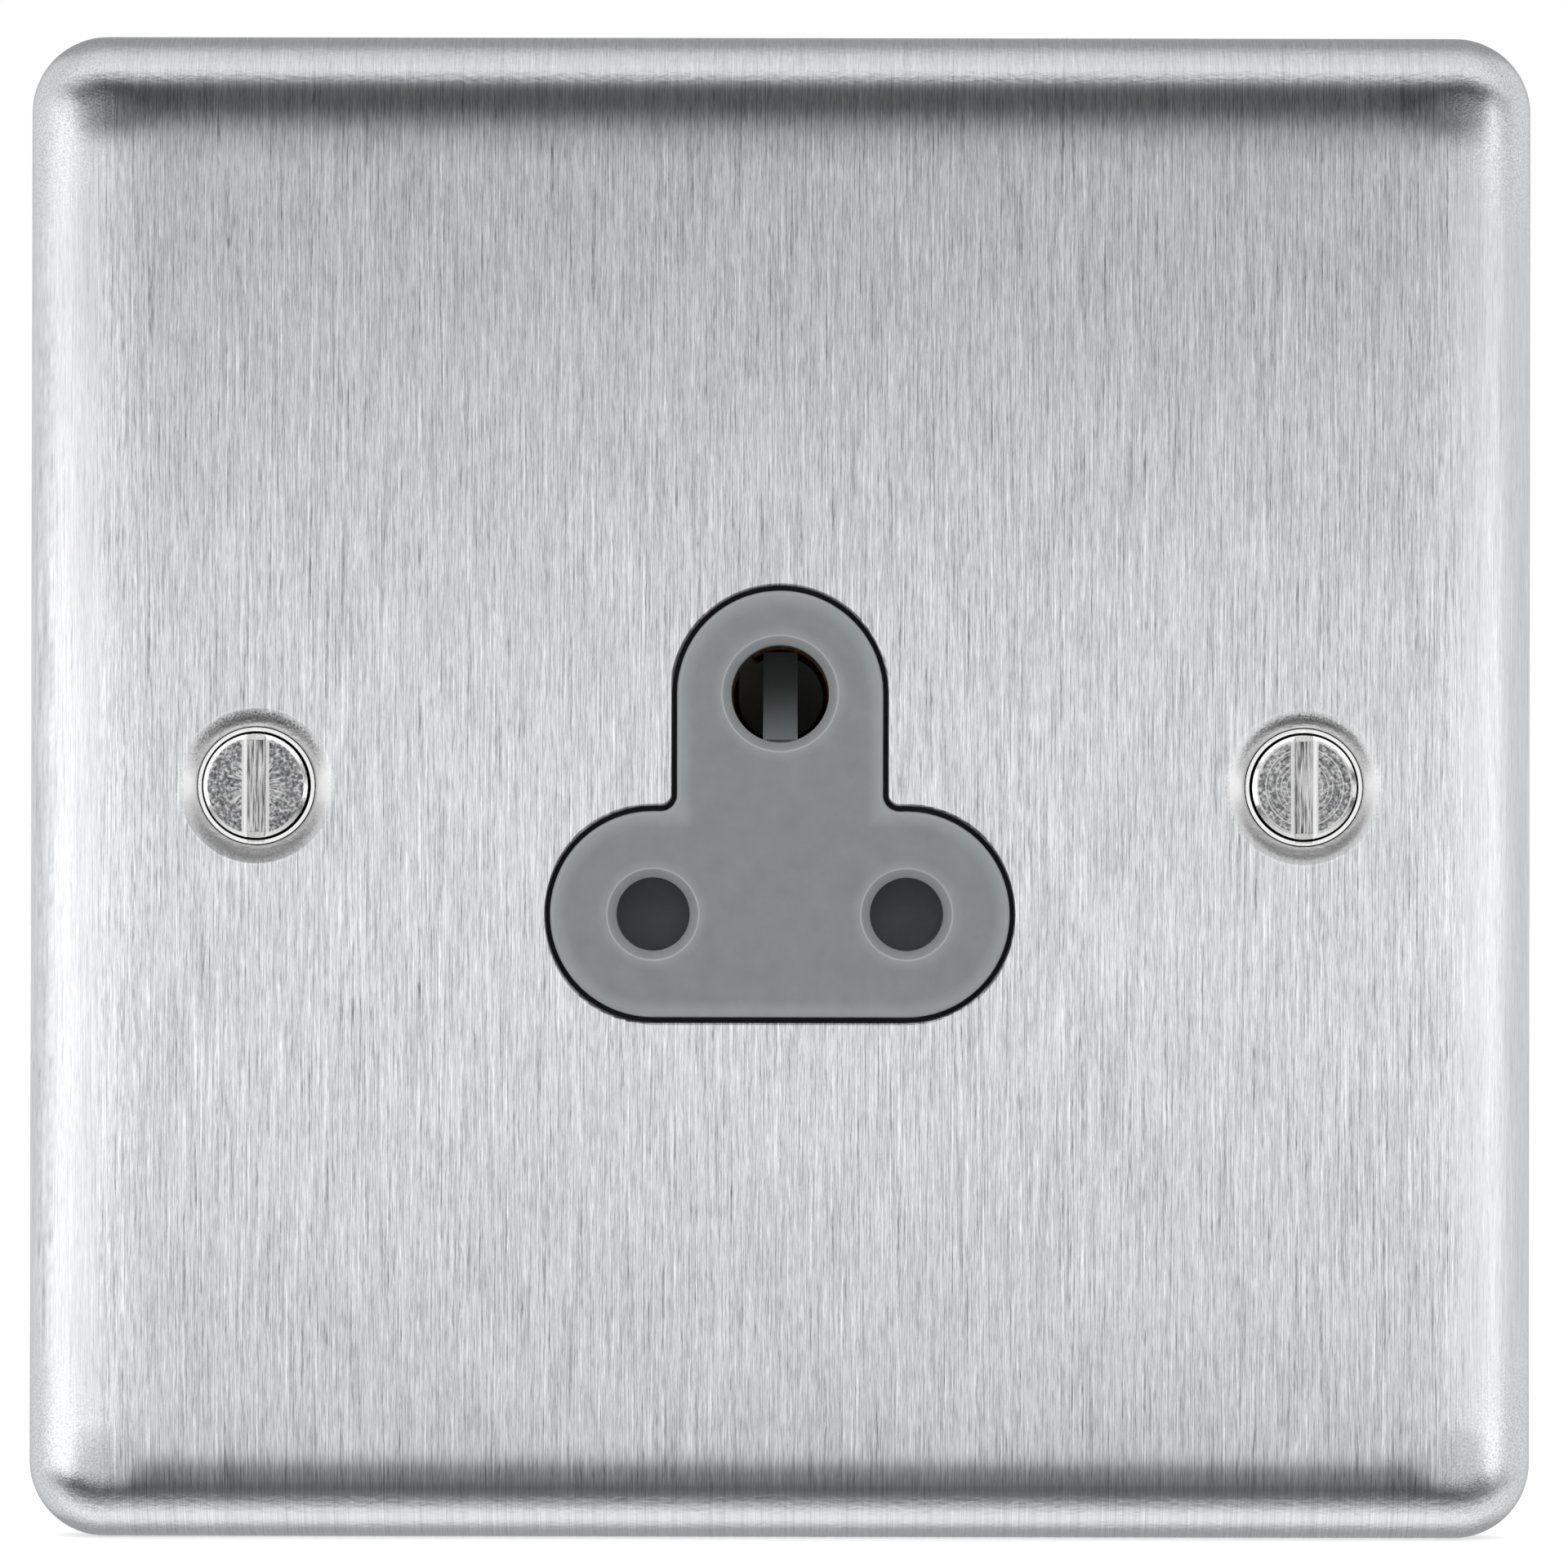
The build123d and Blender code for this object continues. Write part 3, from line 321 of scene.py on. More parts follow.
def brushed_stainless():
    """Stainless steel sheet, belt brushed from top to bottom: fine upright lines that spread light sideways.

    The press left the top and bottom bends rippled and the corners and seats grainy; the seats carry painted
    shade."""
    material, tree = new_material("brushed_stainless_steel")
    point = add(tree, "TexCoord").node.outputs["Object"]
    place = add(tree, "SeparateXYZ", {0: point}).node.outputs
    normal = add(tree, "NewGeometry").node.outputs["Normal"]
    facing = add(tree, "SeparateXYZ", {0: normal}).node.outputs
    upward = add(tree, "Math", {0: facing["Z"]}, operation="ABSOLUTE")
    beside = add(tree, "Math", {0: place["X"]}, operation="ABSOLUTE")
    above = add(tree, "Math", {0: place["Z"]}, operation="ABSOLUTE")
    peel = grain(tree, point, PEEL_SIZES)
    outward = add(tree, "Math", {0: beside, 1: above}, operation="ADD")
    corner_out = PLATE_HIGH.x + PLATE_HIGH.z
    corner = add(tree, "MapRange", {
        "Value": outward,
        "From Min": corner_out - CORNER_START,
        "From Max": corner_out - CORNER_FULL,
    })
    strained = add(tree, "MapRange", {"Value": beside, "From Min": STRAIN_START, "From Max": STRAIN_FULL})
    strained = add(tree, "Math", {0: strained, 1: corner}, operation="MULTIPLY")
    spot = add(tree, "CombineXYZ", {"X": beside, "Z": place["Z"]})
    seat_out = add(tree, "VectorMath", {0: spot, 1: (FIXING_X, 0, 0)}, operation="DISTANCE")
    seat_out = seat_out.node.outputs["Value"]
    ragged = add(tree, "Math", {0: peel, 1: SEAT_RAGGED, 2: seat_out}, operation="MULTIPLY_ADD")
    seat_edge = SEAT_RADIUS + SEAT_RAGGED / 2
    seat = add(tree, "MapRange", {"Value": ragged, "From Min": seat_edge, "From Max": seat_edge - SEAT_FADE})
    rolled = add(tree, "Math", {0: beside, 1: ROLL_SIDE}, operation="ADD")
    rolled = add(tree, "Math", {0: rolled, 1: above}, operation="MAXIMUM")
    rolled = add(tree, "MapRange", {
        "Value": rolled,
        "From Min": ROLL_START,
        "From Max": ROLL_END,
        "To Max": ROLL_CALM,
    })
    lines = belt_lines(tree, place, facing)
    lines = add(tree, "Mix", {0: strained, 2: lines, 3: peel}, data_type="FLOAT")
    lines = add(tree, "Mix", {0: rolled, 2: lines, 3: 0.5}, data_type="FLOAT")
    tone = ramp(tree, lines, [(0.3, linear("7A7C7E")), (0.5, linear("CED0D2")), (0.7, linear("FFFFFF"))])
    # Painted shade on the sloping screw seats, over their grain
    shaded_specks = seat_shaded_specks(tree, peel, facing, upward, seat_out)
    tone = add(tree, "Mix", {0: seat, 6: tone, 7: shaded_specks}, data_type="RGBA")
    ripple = grain(tree, point, RIPPLE_SIZES)
    bent = add(tree, "MapRange", {"Value": upward, "From Min": 0.19, "From Max": 0.32})
    ripple = add(tree, "Math", {0: ripple, 1: bent}, operation="MULTIPLY")
    pressed = add(tree, "Math", {0: strained, 1: seat}, operation="MAXIMUM")
    grit = add(tree, "Math", {0: peel, 1: pressed}, operation="MULTIPLY")
    height = add(tree, "Math", {0: ripple, 1: RIPPLE_HEIGHT}, operation="MULTIPLY")
    height = add(tree, "Math", {0: grit, 1: GRIT_HEIGHT, 2: height}, operation="MULTIPLY_ADD")
    height = add(tree, "Math", {0: lines, 1: LINE_HEIGHT, 2: height}, operation="MULTIPLY_ADD")
    soft = pressed_normal(tree, normal, facing, place, beside, above, seat_out)
    bump = add(tree, "Bump", {"Height": height, "Strength": 1.0, "Distance": 1.0, "Normal": soft})
    rough = add(tree, "MapRange", {"Value": corner, "To Min": 0.28, "To Max": 0.22})
    rough = add(tree, "MapRange", {"Value": seat, "To Min": rough, "To Max": 0.45})
    tangent = add(tree, "VectorMath", {0: normal, 1: (0, 0, 1)}, operation="CROSS_PRODUCT")
    tangent = add(tree, "VectorMath", {0: tangent, 1: (-0.05, 0, 0)}, operation="ADD")
    shader = add(tree, "BsdfPrincipled", {
        "Base Color": tone,
        "Metallic": 1.0,
        "Roughness": rough,
        "Anisotropic": 0.95,
        "Tangent": tangent,
        "Normal": bump,
    })
    add(tree, "OutputMaterial", {"Surface": shader})
    return material


def dull_crown(tree, pits, place, beside, radius):
    """The pitted tone of a head's top, ringed on the right screw and bruised on the left one.

    The slot's edges are burnished bright."""
    turn = add(tree, "Math", {0: place["Z"], 1: beside}, operation="ARCTAN2")
    turn = add(tree, "Math", {0: turn, 1: MM}, operation="MULTIPLY")
    rings = grain(tree, add(tree, "CombineXYZ", {"X": radius}), RING_SIZES, 1.0)
    spokes = grain(tree, add(tree, "CombineXYZ", {"X": turn, "Z": radius}), SPOKE_SIZES, 1.0)
    inner = add(tree, "MapRange", {
        "Value": radius,
        "From Min": BRUISE_END,
        "From Max": BRUISE_FULL,
        "To Max": 0.9,
    })
    right = add(tree, "Math", {0: place["X"], 1: 0.0}, operation="GREATER_THAN")
    marks = add(tree, "Mix", {0: right, 2: spokes, 3: rings}, data_type="FLOAT")
    marked = add(tree, "Mix", {0: right, 2: inner, 3: 0.75}, data_type="FLOAT")
    scratch = add(tree, "MapRange", {"Value": marks, "From Min": 0.49, "From Max": 0.62})
    scratch = add(tree, "Math", {0: scratch, 1: marked}, operation="MULTIPLY")
    dull = ramp(tree, pits, [(0.34, linear("585859")), (0.5, linear("9E9EA0")), (0.64, linear("ECECEC"))])
    dull = add(tree, "Mix", {0: scratch, 6: dull, 7: linear("F8F8F8")}, data_type="RGBA")
    wear_and_highlight = add(tree, "Math", {0: beside}, operation="ABSOLUTE")
    wear_and_highlight = add(tree, "Math", {0: wear_and_highlight, 1: HEAD_SLOT_EDGE, 2: HEAD_SLOT_WORN}, operation="COMPARE")
    return add(tree, "Mix", {0: wear_and_highlight, 6: dull, 7: linear("FCFCFC")}, data_type="RGBA")


def head_painted_shade(tree, place, radius):
    """Painted shade in the groove round a head's crown, below the ledge, and at its rim."""
    ledge = PLATE_FACE + HEAD_SINK
    groove = add(tree, "Math", {0: radius, 1: HEAD_GROOVE, 2: GROOVE_SHADE}, operation="COMPARE")
    sunk = add(tree, "Math", {0: place["Y"], 1: ledge - HEAD_SKIN}, operation="GREATER_THAN")
    groove = add(tree, "Math", {0: groove, 1: sunk}, operation="MULTIPLY")
    edge = add(tree, "Math", {0: radius, 1: HEAD_RADIUS - RIM_SHADE}, operation="GREATER_THAN")
    rim = add(tree, "Math", {0: place["Y"], 1: ledge + RIM_SHADE_DEPTH}, operation="LESS_THAN")
    edge = add(tree, "Math", {0: edge, 1: rim}, operation="MULTIPLY")
    return add(tree, "Math", {0: groove, 1: edge}, operation="MAXIMUM")


def nickel_plated_steel():
    """Steel, turned and nickel plated: bright bevels and threads, a dull top, and painted shade in the groove
    and at the rim. The slot's floor is streaked by its cutter and painted darker as shade in the slot."""
    material, tree = new_material("nickel_plated_steel")
    point = add(tree, "TexCoord").node.outputs["Object"]
    place = add(tree, "SeparateXYZ", {0: point}).node.outputs
    beside = add(tree, "Math", {0: place["X"]}, operation="ABSOLUTE")
    beside = add(tree, "Math", {0: beside, 1: FIXING_X}, operation="SUBTRACT")
    head = add(tree, "CombineXYZ", {"X": beside, "Z": place["Z"]})
    radius = add(tree, "VectorMath", {0: head}, operation="LENGTH").node.outputs["Value"]
    pits = grain(tree, point, PIT_SIZES, 4.0)
    streaks = grain(tree, point, STREAK_SIZES)
    top = add(tree, "MapRange", {
        "Value": place["Y"],
        "From Min": HEAD_TOP + HEAD_SKIN,
        "From Max": HEAD_TOP + HEAD_SKIN / 2,
    })
    floor_level = HEAD_TOP + HEAD_SLOT_DEPTH
    on_head = add(tree, "Math", {0: place["Y"], 1: floor_level + HEAD_SKIN}, operation="LESS_THAN")
    slot = add(tree, "MapRange", {
        "Value": place["Y"],
        "From Min": floor_level - HEAD_SKIN,
        "From Max": floor_level - HEAD_SKIN / 2,
    })
    slot = add(tree, "Math", {0: slot, 1: on_head}, operation="MULTIPLY")
    painted_shade = head_painted_shade(tree, place, radius)
    painted_shade = add(tree, "Math", {0: painted_shade, 1: on_head}, operation="MULTIPLY")
    bright = ramp(tree, streaks, [(0.3, linear("F2F2F2")), (0.7, linear("FDFDFC"))])
    # The slot's floor: the cutter's streaks, painted darker as shade in the slot
    cut = ramp(tree, streaks, [(0.36, linear("585858")), (0.62, linear("DCDCDC"))])
    dull = dull_crown(tree, pits, place, beside, radius)
    tone = add(tree, "Mix", {0: slot, 6: bright, 7: cut}, data_type="RGBA")
    tone = add(tree, "Mix", {0: top, 6: tone, 7: dull}, data_type="RGBA")
    # Near-black painted shade in the groove and at the rim
    tone = add(tree, "Mix", {0: painted_shade, 6: tone, 7: linear("121212")}, data_type="RGBA")
    rough = add(tree, "MapRange", {"Value": top, "To Min": 0.14, "To Max": 0.42})
    bump = add(tree, "Bump", {"Height": pits, "Strength": 0.4, "Distance": PIT_DEPTH})
    shader = add(tree, "BsdfPrincipled", {
        "Base Color": tone,
        "Metallic": 1.0,
        "Roughness": rough,
        "Normal": bump,
    })
    add(tree, "OutputMaterial", {"Surface": shader})
    return material


def plain_metal(name, shade, colour, roughness, cloud_size):
    """A plated, drawn or rolled metal whose colour and gloss are a little cloudy, as plating and handling
    leave them."""
    material, tree = new_material(name)
    place = add(tree, "TexCoord").node.outputs["Object"]
    cloud = grain(tree, place, cloud_size, 4.0)
    tone = ramp(tree, cloud, [(0.3, linear(shade)), (0.7, linear(colour))])
    rough = add(tree, "MapRange", {"Value": cloud, "To Min": roughness * 1.3, "To Max": roughness * 0.75})
    bump = add(tree, "Bump", {"Height": cloud, "Strength": 0.15, "Distance": CLOUD_DEPTH})
    shader = add(tree, "BsdfPrincipled", {
        "Base Color": tone,
        "Metallic": 1.0,
        "Roughness": rough,
        "Normal": bump,
    })
    add(tree, "OutputMaterial", {"Surface": shader})
    return material


def painted_ramp_light(tree, tone, ramp_light):
    """Paints light on the shutter's ramp, palest at its foot and fading upwards into the earth hole's shade.
    """
    place = add(tree, "SeparateXYZ", {0: add(tree, "TexCoord").node.outputs["Object"]}).node.outputs
    facing = add(tree, "SeparateXYZ", {0: add(tree, "NewGeometry").node.outputs["Normal"]}).node.outputs
    sloping = add(tree, "Math", {0: facing["Z"], 1: 0.7, 2: 0.1}, operation="COMPARE")
    middle = PIN_HOLES[2]["pos_m"][2]
    reach = PIN_HOLES[2]["dims"]["r_mm"] * MM
    share = add(tree, "MapRange", {
        "Value": place["Z"],
        "From Min": middle + reach,
        "From Max": middle - reach,
    })
    share = add(tree, "Math", {0: share, 1: sloping}, operation="MULTIPLY")
    return add(tree, "Mix", {0: share, 6: tone, 7: linear(ramp_light)}, data_type="RGBA")


def painted_highlights(tree, tone, rim):
    """Paints highlights: a pale line and halo round each pin hole, and the edge of the three-lobed boss."""
    point = add(tree, "TexCoord").node.outputs["Object"]
    flat = add(tree, "VectorMath", {0: point, 1: (1, 0, 1)}, operation="MULTIPLY")
    from_mouth = FAR
    for hole in PIN_HOLES:
        x, _, z = hole["pos_m"]
        out = add(tree, "VectorMath", {0: flat, 1: (x, 0, z)}, operation="DISTANCE")
        out = out.node.outputs["Value"]
        mouth_radius = hole["dims"]["r_mm"] * MM + LEAD_IN
        mouth = add(tree, "Math", {0: out, 1: mouth_radius}, operation="SUBTRACT")
        mouth = add(tree, "Math", {0: mouth}, operation="ABSOLUTE")
        from_mouth = add(tree, "Math", {0: mouth, 1: from_mouth}, operation="MINIMUM")
    axes = add(tree, "SeparateXYZ", {0: flat}).node.outputs
    line_x, _, line_z = PIN_HOLES[0]["pos_m"]
    level_arm = ((-line_x, 0, line_z), (line_x, 0, line_z))
    upright_arm = ((0, 0, line_z), PIN_HOLES[2]["pos_m"])
    from_arm = FAR
    for low, high in (level_arm, upright_arm):
        nearest = add(tree, "CombineXYZ", {
            "X": add(tree, "Clamp", {0: axes["X"], 1: low[0], 2: high[0]}),
            "Z": add(tree, "Clamp", {0: axes["Z"], 1: low[2], 2: high[2]}),
        })
        out = add(tree, "VectorMath", {0: flat, 1: nearest}, operation="DISTANCE")
        out = out.node.outputs["Value"]
        from_arm = add(tree, "Math", {0: out, 1: from_arm}, operation="MINIMUM")
    line = add(tree, "MapRange", {
        "Value": from_mouth,
        "From Min": HIGHLIGHT_LINE[1],
        "From Max": HIGHLIGHT_LINE[0],
        "To Max": 0.36,
    })
    halo = add(tree, "MapRange", {
        "Value": from_mouth,
        "From Min": HIGHLIGHT_HALO[1],
        "From Max": HIGHLIGHT_HALO[0],
        "To Max": 0.16,
    })
    edge = add(tree, "MapRange", {
        "Value": from_arm,
        "From Min": LOBE_RADIUS - HIGHLIGHT_EDGE[1],
        "From Max": LOBE_RADIUS - HIGHLIGHT_EDGE[0],
        "To Max": 0.3,
    })
    wear_and_highlight = add(tree, "Math", {0: line, 1: halo}, operation="ADD")
    wear_and_highlight = add(tree, "Math", {0: wear_and_highlight, 1: edge}, operation="ADD")
    return add(tree, "Mix", {0: wear_and_highlight, 6: tone, 7: linear(rim)}, data_type="RGBA")


def moulded_plastic(name, shade, colour, roughness, gloss=0.5, rim=None, ramp_light=None):
    """Moulded urea or nylon, or pressed fibre: satin, faintly mottled, with a very fine grain.

    A rim colour paints highlights at the pin holes and the boss's edge, the last one light on the shutter's
    ramp."""
    material, tree = new_material(name)
    place = add(tree, "TexCoord").node.outputs["Object"]
    mottle = grain(tree, place, MOTTLE_SIZES, 4.0)
    tone = ramp(tree, mottle, [(0.3, linear(shade)), (0.7, linear(colour))])
    # Painted highlights round the pin holes and along the boss's edge
    if rim:
        tone = painted_highlights(tree, tone, rim)
    # Painted light on the foot of the shutter's ramp
    if ramp_light:
        tone = painted_ramp_light(tree, tone, ramp_light)
    fine = grain(tree, place, MOULD_GRAIN_SIZES, 3.0)
    bump = add(tree, "Bump", {"Height": fine, "Strength": 0.15, "Distance": MOULD_GRAIN_DEPTH})
    shader = add(tree, "BsdfPrincipled", {
        "Base Color": tone,
        "Roughness": roughness,
        "IOR": 1.5,
        "Specular IOR Level": gloss,
        "Normal": bump,
    })
    add(tree, "OutputMaterial", {"Surface": shader})
    return material


def new_piece(name, mesh, node, material):
    """A piece that stands for a CAD node and stays with the fixed body."""
    mesh.materials.clear()
    mesh.materials.append(material)
    made = bpy.data.objects.new(name, mesh)
    bpy.context.scene.collection.objects.link(made)
    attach(made, "socket")
    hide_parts(node)
    return made


def grid_faces(built, rows):
    """Joins rows of vertices, each row a closed ring, with quads."""
    for low, high in zip(rows, rows[1:]):
        for i in range(len(low)):
            j = (i + 1) % len(low)
            built.faces.new((low[i], low[j], high[j], high[i])).smooth = True


def threaded(node, axes, radius, pitch):
    """The node's mesh with each plain cylinder of this radius, along Y, cut as a right-hand thread."""
    built = bmesh.new()
    built.from_mesh(NODES[node].data)
    depth = THREAD_DEPTH * pitch
    for x, z in axes:
        skin = [v for v in built.verts if abs(hypot(v.co.x - x, v.co.z - z) - radius) < radius / 100]
        on_skin = set(skin)
        low = min(v.co.y for v in skin)
        high = max(v.co.y for v in skin)
        plain = [f for f in built.faces if on_skin.issuperset(f.verts)]
        bmesh.ops.delete(built, geom=plain, context="FACES")
        count = ceil((high - low) / pitch * ROWS_PER_PITCH)
        rows = []
        for i in range(count + 1):
            y = low + (high - low) * i / count
            fade = min(1, (y - low) / pitch, (high - y) / pitch)
            row = []
            for j in range(THREAD_SIDES):
                turn = j / THREAD_SIDES
                flank = abs(2 * ((y / pitch - turn) % 1) - 1)
                here = radius - depth * flank * fade
                angle = 2 * pi * turn
                row.append(built.verts.new((x + here * sin(angle), y, z + here * cos(angle))))
            rows.append(row)
        grid_faces(built, rows)
    bmesh.ops.recalc_face_normals(built, faces=built.faces)
    mesh = bpy.data.meshes.new(node + "_threaded")
    built.to_mesh(mesh)
    built.free()
    mesh.set_sharp_from_angle(angle=SHARP_EDGE)
    return mesh


def coil_spring(low, high):
    """Round wire wound in a helix between two corners, with its axis upright."""
    built = bmesh.new()
    wire = SPRING_WIRE / 2
    radius = (high.x - low.x) / 2 - wire
    middle = (low + high) / 2
    rows = []
    for i in range(SPRING_TURNS * STEPS_PER_TURN + 1):
        turn = 2 * pi * i / STEPS_PER_TURN
        level = low.z + wire + (high.z - low.z - 2 * wire) * i / (SPRING_TURNS * STEPS_PER_TURN)
        row = []
        for j in range(WIRE_SIDES):
            round_wire = 2 * pi * j / WIRE_SIDES
            out = radius + wire * cos(round_wire)
            row.append(built.verts.new((
                middle.x + out * cos(turn),
                middle.y + out * sin(turn),
                level + wire * sin(round_wire),
            )))
        rows.append(row)
    grid_faces(built, rows)
    built.faces.new(rows[0])
    built.faces.new(rows[-1])
    bmesh.ops.recalc_face_normals(built, faces=built.faces)
    mesh = bpy.data.meshes.new("coil_spring")
    built.to_mesh(mesh)
    built.free()
    return mesh


def studio_world():
    """White surroundings to the eye and in reflections, and a plain light, weaker from the front."""
    world = bpy.data.worlds.new("studio")
    world.use_nodes = True
    tree = world.node_tree
    tree.nodes.clear()
    rays = add(tree, "LightPath").node.outputs
    seen = add(tree, "Math", {0: rays["Is Camera Ray"], 1: rays["Is Glossy Ray"]}, operation="MAXIMUM")
    seen = add(tree, "Math", {0: seen, 1: rays["Is Transmission Ray"]}, operation="MAXIMUM")
    heading = add(tree, "SeparateXYZ", {0: add(tree, "TexCoord")}).node.outputs["Y"]
    around = add(tree, "MapRange", {
        "Value": heading,
        "From Min": -1.0,
        "From Max": -0.6,
        "To Min": 0.12,
        "To Max": 0.95,
    })
    level = add(tree, "MapRange", {"Value": seen, "To Min": around, "To Max": 1.0})
    shader = add(tree, "Background", {"Color": linear("FFFFFF"), "Strength": level})
    add(tree, "OutputWorld", {"Surface": shader})
    bpy.context.scene.world = world


def floor():
    """Pale floor under the plate's lower edge, white to the eye apart from the shadow on it."""
    half = 3.0
    mesh = bpy.data.meshes.new("floor")
    corners = [(-half, -half), (half, -half), (half, half), (-half, half)]
    mesh.from_pydata([(x, y, CAD_BOX[0].z) for x, y in corners], [], [(0, 1, 2, 3)])
    made = bpy.data.objects.new("floor", mesh)
    bpy.context.scene.collection.objects.link(made)
    material, tree = new_material("white_paper")
    paper = add(tree, "BsdfDiffuse", {"Color": linear("F8F8F8")})
    lift = add(tree, "Math", {0: add(tree, "LightPath"), 1: 0.35}, operation="MULTIPLY")
    glow = add(tree, "Emission", {"Strength": lift})
    add(tree, "OutputMaterial", {"Surface": add(tree, "AddShader", {0: paper, 1: glow})})
    mesh.materials.append(material)
    made.visible_glossy = False


def light_tent(radius, half_width, back_half_width, stops):
    """Tent curved about the X axis, narrower behind, only seen in reflections. Stops: degrees and tones."""
    low, high = (radians(stops[i][0]) for i in (0, -1))
    steps = 120
    behind = -0.3
    points = []
    for i in range(steps + 1):
        angle = low + (high - low) * i / steps
        reach = half_width if cos(angle) > behind else back_half_width
        for side in (-reach, reach):
            points.append((side, -radius * cos(angle), radius * sin(angle)))
    faces = [(2 * i, 2 * i + 1, 2 * i + 3, 2 * i + 2) for i in range(steps)]
    mesh = bpy.data.meshes.new("light_tent")
    mesh.from_pydata(points, [], faces)
    made = bpy.data.objects.new("light_tent", mesh)
    bpy.context.scene.collection.objects.link(made)
    material, tree = new_material("light_tent")
    place = add(tree, "SeparateXYZ", {0: add(tree, "TexCoord").node.outputs["Object"]}).node.outputs
    forward = add(tree, "Math", {0: place["Y"], 1: -1.0}, operation="MULTIPLY")
    angle = add(tree, "Math", {0: place["Z"], 1: forward}, operation="ARCTAN2")
    share = add(tree, "MapRange", {"Value": angle, "From Min": low, "From Max": high})
    tones = [((radians(degrees) - low) / (high - low), (tone, tone, tone, 1.0)) for degrees, tone in stops]
    glow = add(tree, "Emission", {"Color": ramp(tree, share, tones), "Strength": 1.0})
    add(tree, "OutputMaterial", {"Surface": glow})
    material.cycles.emission_sampling = "NONE"
    mesh.materials.append(material)
    made.visible_camera = False
    made.visible_diffuse = False
    made.visible_shadow = False
    made.visible_transmission = False


def softbox(name, azimuth, elevation, distance, size, radiance, reflected=True):
    """A rectangular soft lamp aimed at the plate."""
    lamp = bpy.data.lights.new(name, "AREA")
    lamp.shape = "RECTANGLE"
    lamp.size, lamp.size_y = size
    lamp.energy = radiance * pi * size[0] * size[1]
    made = bpy.data.objects.new(name, lamp)
    bpy.context.scene.collection.objects.link(made)
    a, e = radians(azimuth), radians(elevation)
    made.location = distance * Vector((sin(a) * cos(e), -cos(a) * cos(e), sin(e)))
    made.rotation_euler = made.location.to_track_quat("Z", "Y").to_euler()
    made.visible_camera = False
    made.visible_glossy = reflected


def camera():
    """The photograph's view of the plate."""
    lens = bpy.data.cameras.new("camera")
    lens.sensor_width = SENSOR_WIDTH
    lens.lens = SENSOR_WIDTH * VIEW_DISTANCE / VIEW_WIDTH
    made = bpy.data.objects.new("camera", lens)
    bpy.context.scene.collection.objects.link(made)
    level = cos(VIEW_ELEVATION)
    back = Vector((sin(VIEW_AZIMUTH) * level, -cos(VIEW_AZIMUTH) * level, sin(VIEW_ELEVATION)))
    made.location = VIEW_TARGET + VIEW_DISTANCE * back
    aim = back.to_track_quat("Z", "Y").to_matrix() @ Matrix.Rotation(VIEW_ROLL, 3, "Z")
    made.rotation_euler = aim.to_euler()
    bpy.context.scene.camera = made


nickel = nickel_plated_steel()
zinc = plain_metal("zinc_plated_steel", "A3A9AF", "CDD1D4", 0.32, (0.5, 0.5, 0.5))
brass = plain_metal("rolled_brass", "B58A45", "DDB972", 0.3, (0.3, 0.3, 2.5))
# The contacts' bronze is painted much darker than the bright metal: painted shade deep in the pin holes
shaded_bronze = plain_metal("phosphor_bronze_strip", "4A3422", "6E4D30", 0.45, (0.3, 2.0, 0.3))
spring_wire = plain_metal("spring_steel", "85878A", "B4B6B8", 0.3, (0.4, 0.4, 0.4))
# The rim colour paints highlights round the pin holes and along the boss's edge
grey = moulded_plastic("grey_moulded_urea", "767A7B", "7E8283", 0.38, rim="B4B8B9")
# The last colour paints light on the foot of the shutter's ramp
shutter_grey = moulded_plastic("grey_moulded_nylon", "5F6465", "676C6D", 0.5, gloss=0.2, ramp_light="9DA1A2")
pale = moulded_plastic("pale_moulded_urea", "B7B7B1", "C4C4BF", 0.45)
# The liner's near-black is the sheet's own colour and also stands in for the shade in the gap round the
# insert
black = moulded_plastic("black_fibre_sheet", "151516", "1F1F20", 0.7)

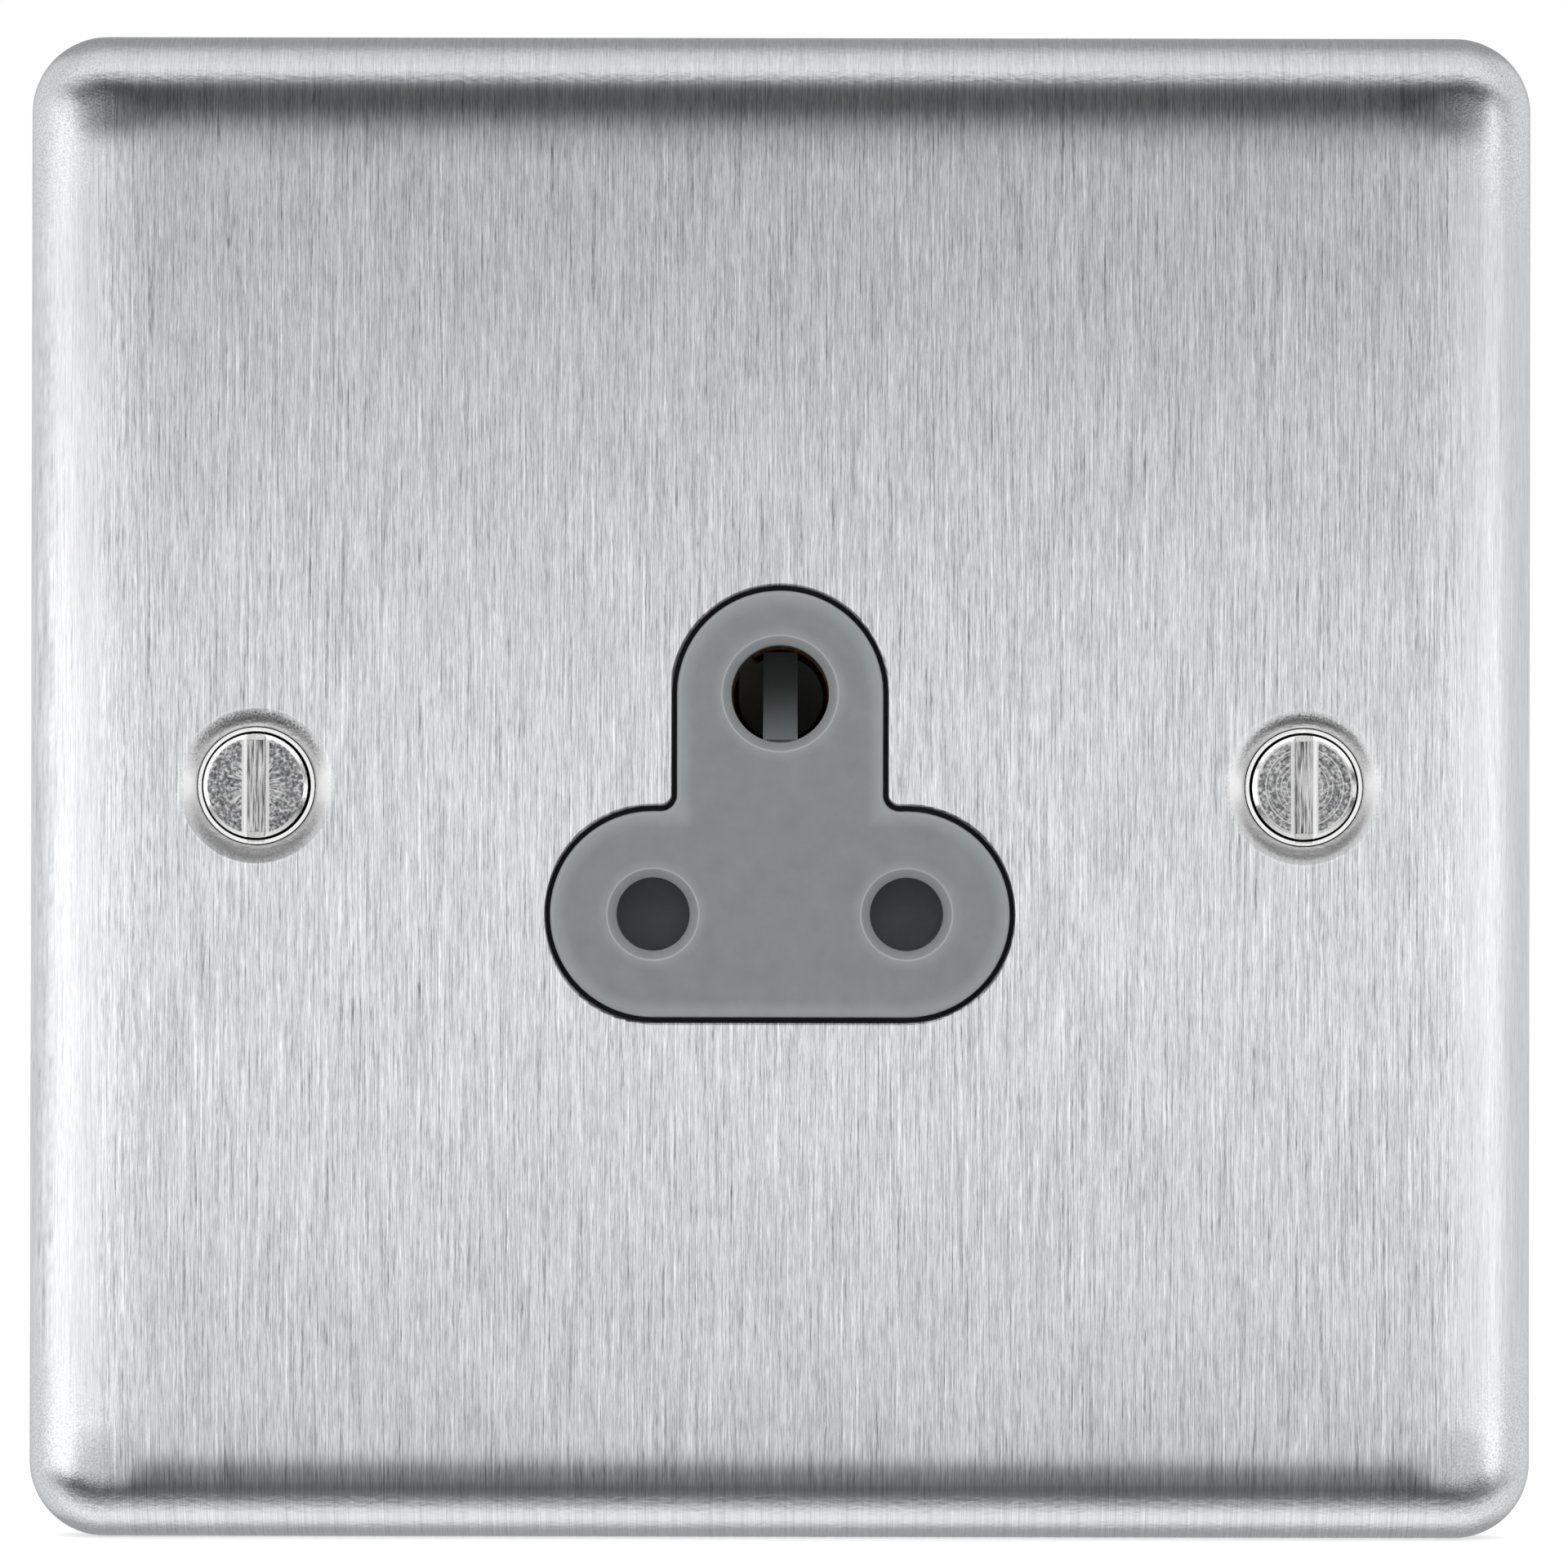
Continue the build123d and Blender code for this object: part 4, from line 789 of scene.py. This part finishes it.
FINISHES = {
    "front_plate": brushed_stainless(),
    "socket_front": grey,
    "shutter": shutter_grey,
    "rear_housing": pale,
    "insulating_liner": black,
    "line_contact": shaded_bronze,
    "neutral_contact": shaded_bronze,
    "earth_contact": shaded_bronze,
    "line_terminal": brass,
    "neutral_terminal": brass,
    "earth_terminal": brass,
    "contact_rivets": brass,
    "earth_strap": brass,
    "terminal_screws": zinc,
    "housing_screws": zinc,
    "stud_nuts": zinc,
}
for node, finish in FINISHES.items():
    for slot in NODES[node].material_slots:
        slot.material = finish

screw_mesh = threaded("fixing_screws", [(-FIXING_X, 0), (FIXING_X, 0)], FIXING_RADIUS, FIXING_PITCH)
new_piece("threaded_fixing_screws", screw_mesh, "fixing_screws", nickel)

stud_low, stud_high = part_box("plate_studs")
stud_radius = (stud_high.z - stud_low.z) / 2
stud_z = (stud_high.z + stud_low.z) / 2
stud_axes = [(stud_low.x + stud_radius, stud_z), (stud_high.x - stud_radius, stud_z)]
stud_mesh = threaded("plate_studs", stud_axes, stud_radius, STUD_PITCH)
new_piece("threaded_studs", stud_mesh, "plate_studs", zinc)

spring_low, spring_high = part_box("shutter_spring")
spring_mesh = coil_spring(spring_low, spring_high)
spring = new_piece("coiled_spring", spring_mesh, "shutter_spring", spring_wire)
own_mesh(spring)

studio_world()
floor()
light_tent(radius=1.5, half_width=4.0, back_half_width=0.9, stops=[
    (-178, 0.48), (-120, 0.48), (-105, 0.6), (-92, 1.28), (-84, 1.68), (-62, 0.72),
    (-48, 0.44), (-36, 0.02), (-28, 0.0), (-25, 0.36), (-22, 0.9), (-18, 0.8),
    (-5, 0.64), (-3.6, 1.04), (0, 0.98), (2.5, 1.0), (4.2, 0.57), (5, 0.42),
    (10, 0.43), (14, 0.39), (19, 0.24), (23, 0.04), (27, 0.0), (31, 0.03),
    (38, 0.38), (44, 0.92), (52, 1.3), (62, 1.06), (90, 0.95), (103, 0.6),
    (118, 0.44), (178, 0.44),
])
softbox("left_softbox", azimuth=-50.5, elevation=0, distance=1.2, size=(1.18, 0.9), radiance=1.04)
softbox("right_softbox", azimuth=44, elevation=0, distance=1.2, size=(0.58, 0.9), radiance=1.18)
softbox(
    "key_softbox", azimuth=0, elevation=33, distance=1.1, size=(0.7, 0.75), radiance=1.6, reflected=False,
)
camera()

scene = bpy.context.scene
scene.view_settings.view_transform = "Standard"
